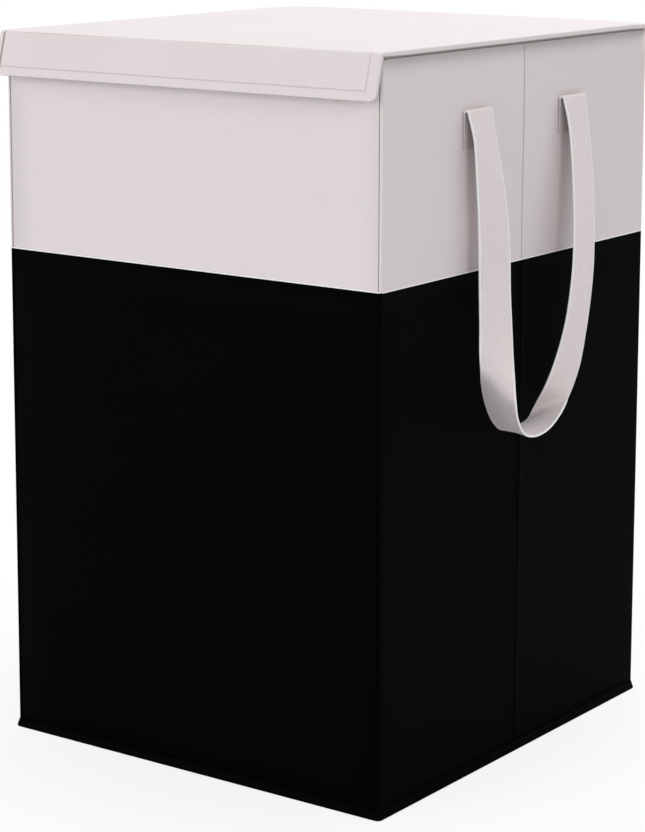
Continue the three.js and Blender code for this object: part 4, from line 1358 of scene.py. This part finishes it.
def sewn_end(at, y, way):
    """Frames of one sewn end, from the foot of its patch up over the fold to where it meets the loop."""
    wide = Vector((0, 1, 0))
    middle_out = (PATCH_MIDDLE_OUT + HANDLE_START_OUT) / 2
    radius = (HANDLE_START_OUT - PATCH_MIDDLE_OUT) / 2
    frames = []
    for i in range(FOLD_RUNS):
        drop = PATCH_H * (1 - i / FOLD_RUNS) + HANDLE_START_DROP * i / FOLD_RUNS
        frames.append((at(PATCH_MIDDLE_OUT, y, drop), wide, Vector((-way, 0, 0))))
    for i in range(FOLD_STEPS):
        turn = math.pi * i / FOLD_STEPS
        rise = radius * FOLD_HEIGHT_SHARE * math.sin(turn)
        place = at(middle_out - radius * math.cos(turn), y, HANDLE_START_DROP - rise)
        thick = Vector((-math.cos(turn), 0, math.sin(turn))) * way
        frames.append((place, wide, thick))
    return frames


class HAMPER_OT_handles(HamperPiece, bpy.types.Operator):
    """Build the two carrying handles, each one band of webbing, with the stitches of their sewn ends"""
    bl_idname = "hamper.handles"
    bl_label = "Carrying handles"

    def build(self, sizes):
        for side, sign in SIDES:
            width = sizes.webbing_width
            # The sewn ends and a few frames past them get painted shadow
            bm = webbing_band(handle_frames(width), width, sizes.webbing, FOLD_RUNS + PATCH_SHADOW_FRAMES)
            if sign < 0:
                self.mirror(bm)
            finish = look("handle_webbing")
            handle = piece_from(bm, f"carrying_handle_{side}", finish, CLOTH_SHARP, mapped=True)
            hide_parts(f"handle_{side}", f"handle_{side}_front_patch", f"handle_{side}_rear_patch")
            z = JOINTS[f"handle_{side}_swing"]["pos_m"][Z_AXIS]
            near, far = (sign * (HALF_W + out) for out in HANDLE_BLEND)
            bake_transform(handle, BODY, f"handle_{side}", start=(near, 0, z), end=(far, 0, z))
            self.sew_ends(sizes, side, sign, z)

    def mirror(self, bm):
        """Makes the right handle a left one."""
        bmesh.ops.transform(bm, matrix=Matrix.Scale(-1, 4, (1, 0, 0)), verts=bm.verts)
        bmesh.ops.recalc_face_normals(bm, faces=bm.faces)

    def sew_ends(self, sizes, side, sign, fold_z):
        """A box of stitches on each sewn end."""
        inset = PATCH_STITCH_INSET
        x = sign * (HALF_W + PATCH_MIDDLE_OUT + sizes.webbing * PATCH_STITCH_OUT)
        half = sizes.webbing_width / 2 - inset
        foot, top = fold_z - PATCH_H + inset, fold_z - inset
        corners = ((-half, foot), (half, foot), (half, top), (-half, top))
        rows = [([(x, y + along, z) for along, z in corners], (sign, 0, 0))
                for y in (HANDLE_FRONT_Y, HANDLE_REAR_Y)]
        name = f"handle_stitching_{side}"
        sew(name, "pale_thread", BODY, "handle_webbing", sizes, rows, closed=True)


BAG_HANDLE_W = 20 * MM
BAG_HANDLE_T = 1.5 * MM
BAG_HANDLE_BEND = 14 * MM       # radius of the loop's two corners, along its middle
BAG_HANDLE_RUNS, BAG_HANDLE_TURNS = 6, 8


def flat_loop_frames(low, high):
    """Frames of a liner bag's handle: a flat loop that hangs from its two ends."""
    y = (low.y + high.y) / 2
    out = BAG_HANDLE_W / 2
    x0, x1, foot = low.x + out, high.x - out, low.z + out
    thick = Vector((0, 1, 0))
    frames = []

    def add(x, z, along):
        frames.append((Vector((x, y, z)), thick.cross(along), thick))
    down, across, up = Vector((0, 0, -1)), Vector((1, 0, 0)), Vector((0, 0, 1))
    runs, turns = BAG_HANDLE_RUNS, BAG_HANDLE_TURNS
    for i in range(runs):
        add(x0, high.z + (foot + BAG_HANDLE_BEND - high.z) * i / runs, down)
    for i in range(turns + 1):
        turn = math.pi / 2 * i / turns
        add(x0 + BAG_HANDLE_BEND * (1 - math.cos(turn)), foot + BAG_HANDLE_BEND * (1 - math.sin(turn)),
            Vector((math.sin(turn), 0, -math.cos(turn))))
    for i in range(1, runs):
        add(x0 + BAG_HANDLE_BEND + (x1 - x0 - 2 * BAG_HANDLE_BEND) * i / runs, foot, across)
    for i in range(turns + 1):
        turn = math.pi / 2 * i / turns
        add(x1 - BAG_HANDLE_BEND * (1 - math.sin(turn)), foot + BAG_HANDLE_BEND * (1 - math.cos(turn)),
            Vector((math.cos(turn), 0, math.sin(turn))))
    for i in range(1, runs + 1):
        add(x1, foot + BAG_HANDLE_BEND + (high.z - foot - BAG_HANDLE_BEND) * i / runs, up)
    return frames


class HAMPER_OT_bag_handles(HamperPiece, bpy.types.Operator):
    """Build the four flat handles of the liner bags"""
    bl_idname = "hamper.bag_handles"
    bl_label = "Bag handles"

    def build(self, sizes):
        for which in BINS:
            for wall in BINS:
                node = f"{which}_bag_handle_{wall}"
                low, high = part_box(node)
                bm = webbing_band(flat_loop_frames(low, high), BAG_HANDLE_W, BAG_HANDLE_T)
                loop = piece_from(bm, f"{node}_webbing", look("inner_webbing"), CLOTH_SHARP, mapped=True)
                carry(loop, node, "inner_webbing", node)


class HAMPER_OT_boards(HamperPiece, bpy.types.Operator):
    """Finish the stiffener boards in the walls, the lid and the flap"""
    bl_idname = "hamper.boards"
    bl_label = "Boards"

    def build(self, sizes):
        walls = [f"{side}_{which}_board" for side, _ in SIDES for which in BINS]
        for name in ("front_board", "back_board", "lid_board", "flap_board", *walls):
            node = frame["nodes"][name]
            node.data.materials.clear()
            node.data.materials.append(look("board"))


# Studio

CAMERA_PLACE = (1.3777, -1.9238, 0.8112)
CAMERA_YAW, CAMERA_PITCH, CAMERA_ROLL = (math.radians(angle) for angle in (35.837, 9.842, 0.122))
CAMERA_LENS = 112.41
CAMERA_SHIFT = (-0.0008, -0.15)
CAMERA_SENSOR = 36
FLOOR_HALF = 40
FLOOR_DROP = 0.3 * MM
GLOW_NEAR, GLOW_RISE = 0.72, 0.5        # the floor's own white at the body, and its gain a metre away
# Each lamp's width, place and the point that it looks at
LAMPS = {
    "top": (2.4, (0.1, 1.0, 2.8), (0, 0, 0.6)),
    "front": (2.0, (-0.9, -3.0, 1.3), (0, 0, 0.35)),
    "side": (0.7, (2.5, -1.2, 1.7), (0, 0, 0.4)),
}


class HAMPER_OT_studio(bpy.types.Operator):
    """Build the pale floor, the lamps, the even light and the camera"""
    bl_idname = "hamper.studio"
    bl_label = "Studio"
    bl_options = {"REGISTER", "UNDO"}

    def execute(self, context):
        light = context.scene.hamper_light
        self.add_floor(context)
        self.add_world(context, light.even)
        for which, (size, place, target) in LAMPS.items():
            self.add_lamp(f"{which}_lamp", getattr(light, which), size, place, target)
        self.add_camera(context)
        context.scene.view_settings.view_transform = "Standard"
        return {"FINISHED"}

    def add_floor(self, context):
        """A pale floor that fades to white away from the body, and keeps its shadow."""
        bm = bmesh.new()
        bmesh.ops.create_grid(bm, x_segments=1, y_segments=1, size=FLOOR_HALF,
                              matrix=Matrix.Translation((0, 0, -FLOOR_DROP)))
        finish = Finish("studio_floor")
        place = finish.place()
        grain = finish.noise(place, 40, 2)
        floor = context.scene.hamper_colours.floor
        finish.set(base_color=finish.mix(grain, tinted(floor, -0.01), tinted(floor, 0.01)), roughness=0.9,
                   specular_ior_level=0.0)
        seen = finish.add("ShaderNodeLightPath", {}, {}, "Is Camera Ray")
        glow = finish.add("ShaderNodeEmission", {}, {"Color": (1, 1, 1), "Strength": 1.0})
        away = finish.add("ShaderNodeVectorMath", {"operation": "LENGTH"}, {0: place}, "Value")
        share = seen * (away * GLOW_RISE + GLOW_NEAR).held()
        lit = Value(finish, finish.shader.outputs[0])
        mixed = finish.add("ShaderNodeMixShader", {}, {0: share, 1: lit, 2: glow})
        finish.feed(finish.nodes["Material Output"].inputs["Surface"], mixed)
        piece_from(bm, "studio_floor", finish.material)

    def add_world(self, context, strength):
        """An even light from all round, that looks white to the camera and in mirrors and glass."""
        world = bpy.data.worlds.new("studio_light")
        world.use_nodes = True
        context.scene.world = world
        tree = Nodes(world.node_tree)
        path = tree.add("ShaderNodeLightPath", {}, {}, "Is Camera Ray")
        seen = path.either(path.other("Is Glossy Ray")).either(path.other("Is Transmission Ray"))
        shown = tree.add("ShaderNodeMix", {"data_type": "FLOAT"}, {0: seen, 2: strength, 3: 1.0})
        background = tree.nodes["Background"]
        tree.feed(background.inputs["Color"], (1, 1, 1))
        tree.feed(background.inputs["Strength"], shown)

    def add_lamp(self, name, power, size, place, target):
        """A round lamp that looks at the target."""
        data = bpy.data.lights.new(name, "AREA")
        data.shape = "DISK"
        data.size = size
        data.energy = power
        lamp = bpy.data.objects.new(name, data)
        lamp.location = place
        lamp.rotation_euler = (Vector(target) - Vector(place)).to_track_quat("-Z", "Y").to_euler()
        bpy.context.scene.collection.objects.link(lamp)

    def add_camera(self, context):
        """The camera that takes the photograph's view."""
        data = bpy.data.cameras.new("camera")
        data.sensor_width = CAMERA_SENSOR
        data.lens = CAMERA_LENS
        data.shift_x, data.shift_y = CAMERA_SHIFT
        camera = bpy.data.objects.new("camera", data)
        yaw, pitch, roll = CAMERA_YAW, CAMERA_PITCH, CAMERA_ROLL
        ahead = Vector((-math.sin(yaw) * math.cos(pitch), math.cos(yaw) * math.cos(pitch), -math.sin(pitch)))
        level = Vector((math.cos(yaw), math.sin(yaw), 0))
        upright = level.cross(ahead)
        right = level * math.cos(roll) + upright * math.sin(roll)
        up = upright * math.cos(roll) - level * math.sin(roll)
        turn = Matrix((right, up, -ahead)).transposed().to_4x4()
        camera.matrix_world = Matrix.Translation(CAMERA_PLACE) @ turn
        context.scene.collection.objects.link(camera)
        context.scene.camera = camera


PIECES = (
    HAMPER_OT_lower_cover, HAMPER_OT_upper_cover, HAMPER_OT_bottom, HAMPER_OT_mouth, HAMPER_OT_inside,
    HAMPER_OT_bags, HAMPER_OT_lid_cloth, HAMPER_OT_lid_linings, HAMPER_OT_handles, HAMPER_OT_bag_handles,
    HAMPER_OT_boards, HAMPER_OT_studio,
)
SETTINGS = {"hamper_sizes": HamperSizes, "hamper_colours": HamperColours, "hamper_light": StudioLight}


class HAMPER_PT_panel(bpy.types.Panel):
    """The hamper's pieces, sizes and colours"""
    bl_idname = "HAMPER_PT_panel"
    bl_label = "Hamper"
    bl_space_type = "VIEW_3D"
    bl_region_type = "UI"
    bl_category = "Hamper"

    def draw(self, context):
        column = self.layout.column(align=True)
        for operator in PIECES:
            column.operator(operator.bl_idname)
        for name, group in SETTINGS.items():
            box = self.layout.box()
            for setting in group.__annotations__:
                box.prop(getattr(context.scene, name), setting)


def register():
    for cls in (*SETTINGS.values(), *PIECES, HAMPER_PT_panel):
        bpy.utils.register_class(cls)
    for name, group in SETTINGS.items():
        setattr(bpy.types.Scene, name, PointerProperty(type=group))


def unregister():
    for name in SETTINGS:
        delattr(bpy.types.Scene, name)
    for cls in reversed((*SETTINGS.values(), *PIECES, HAMPER_PT_panel)):
        bpy.utils.unregister_class(cls)


def main():
    register()
    for operator in PIECES:
        group, name = operator.bl_idname.split(".")
        getattr(getattr(bpy.ops, group), name)()


if __name__ == "__main__":
    main()
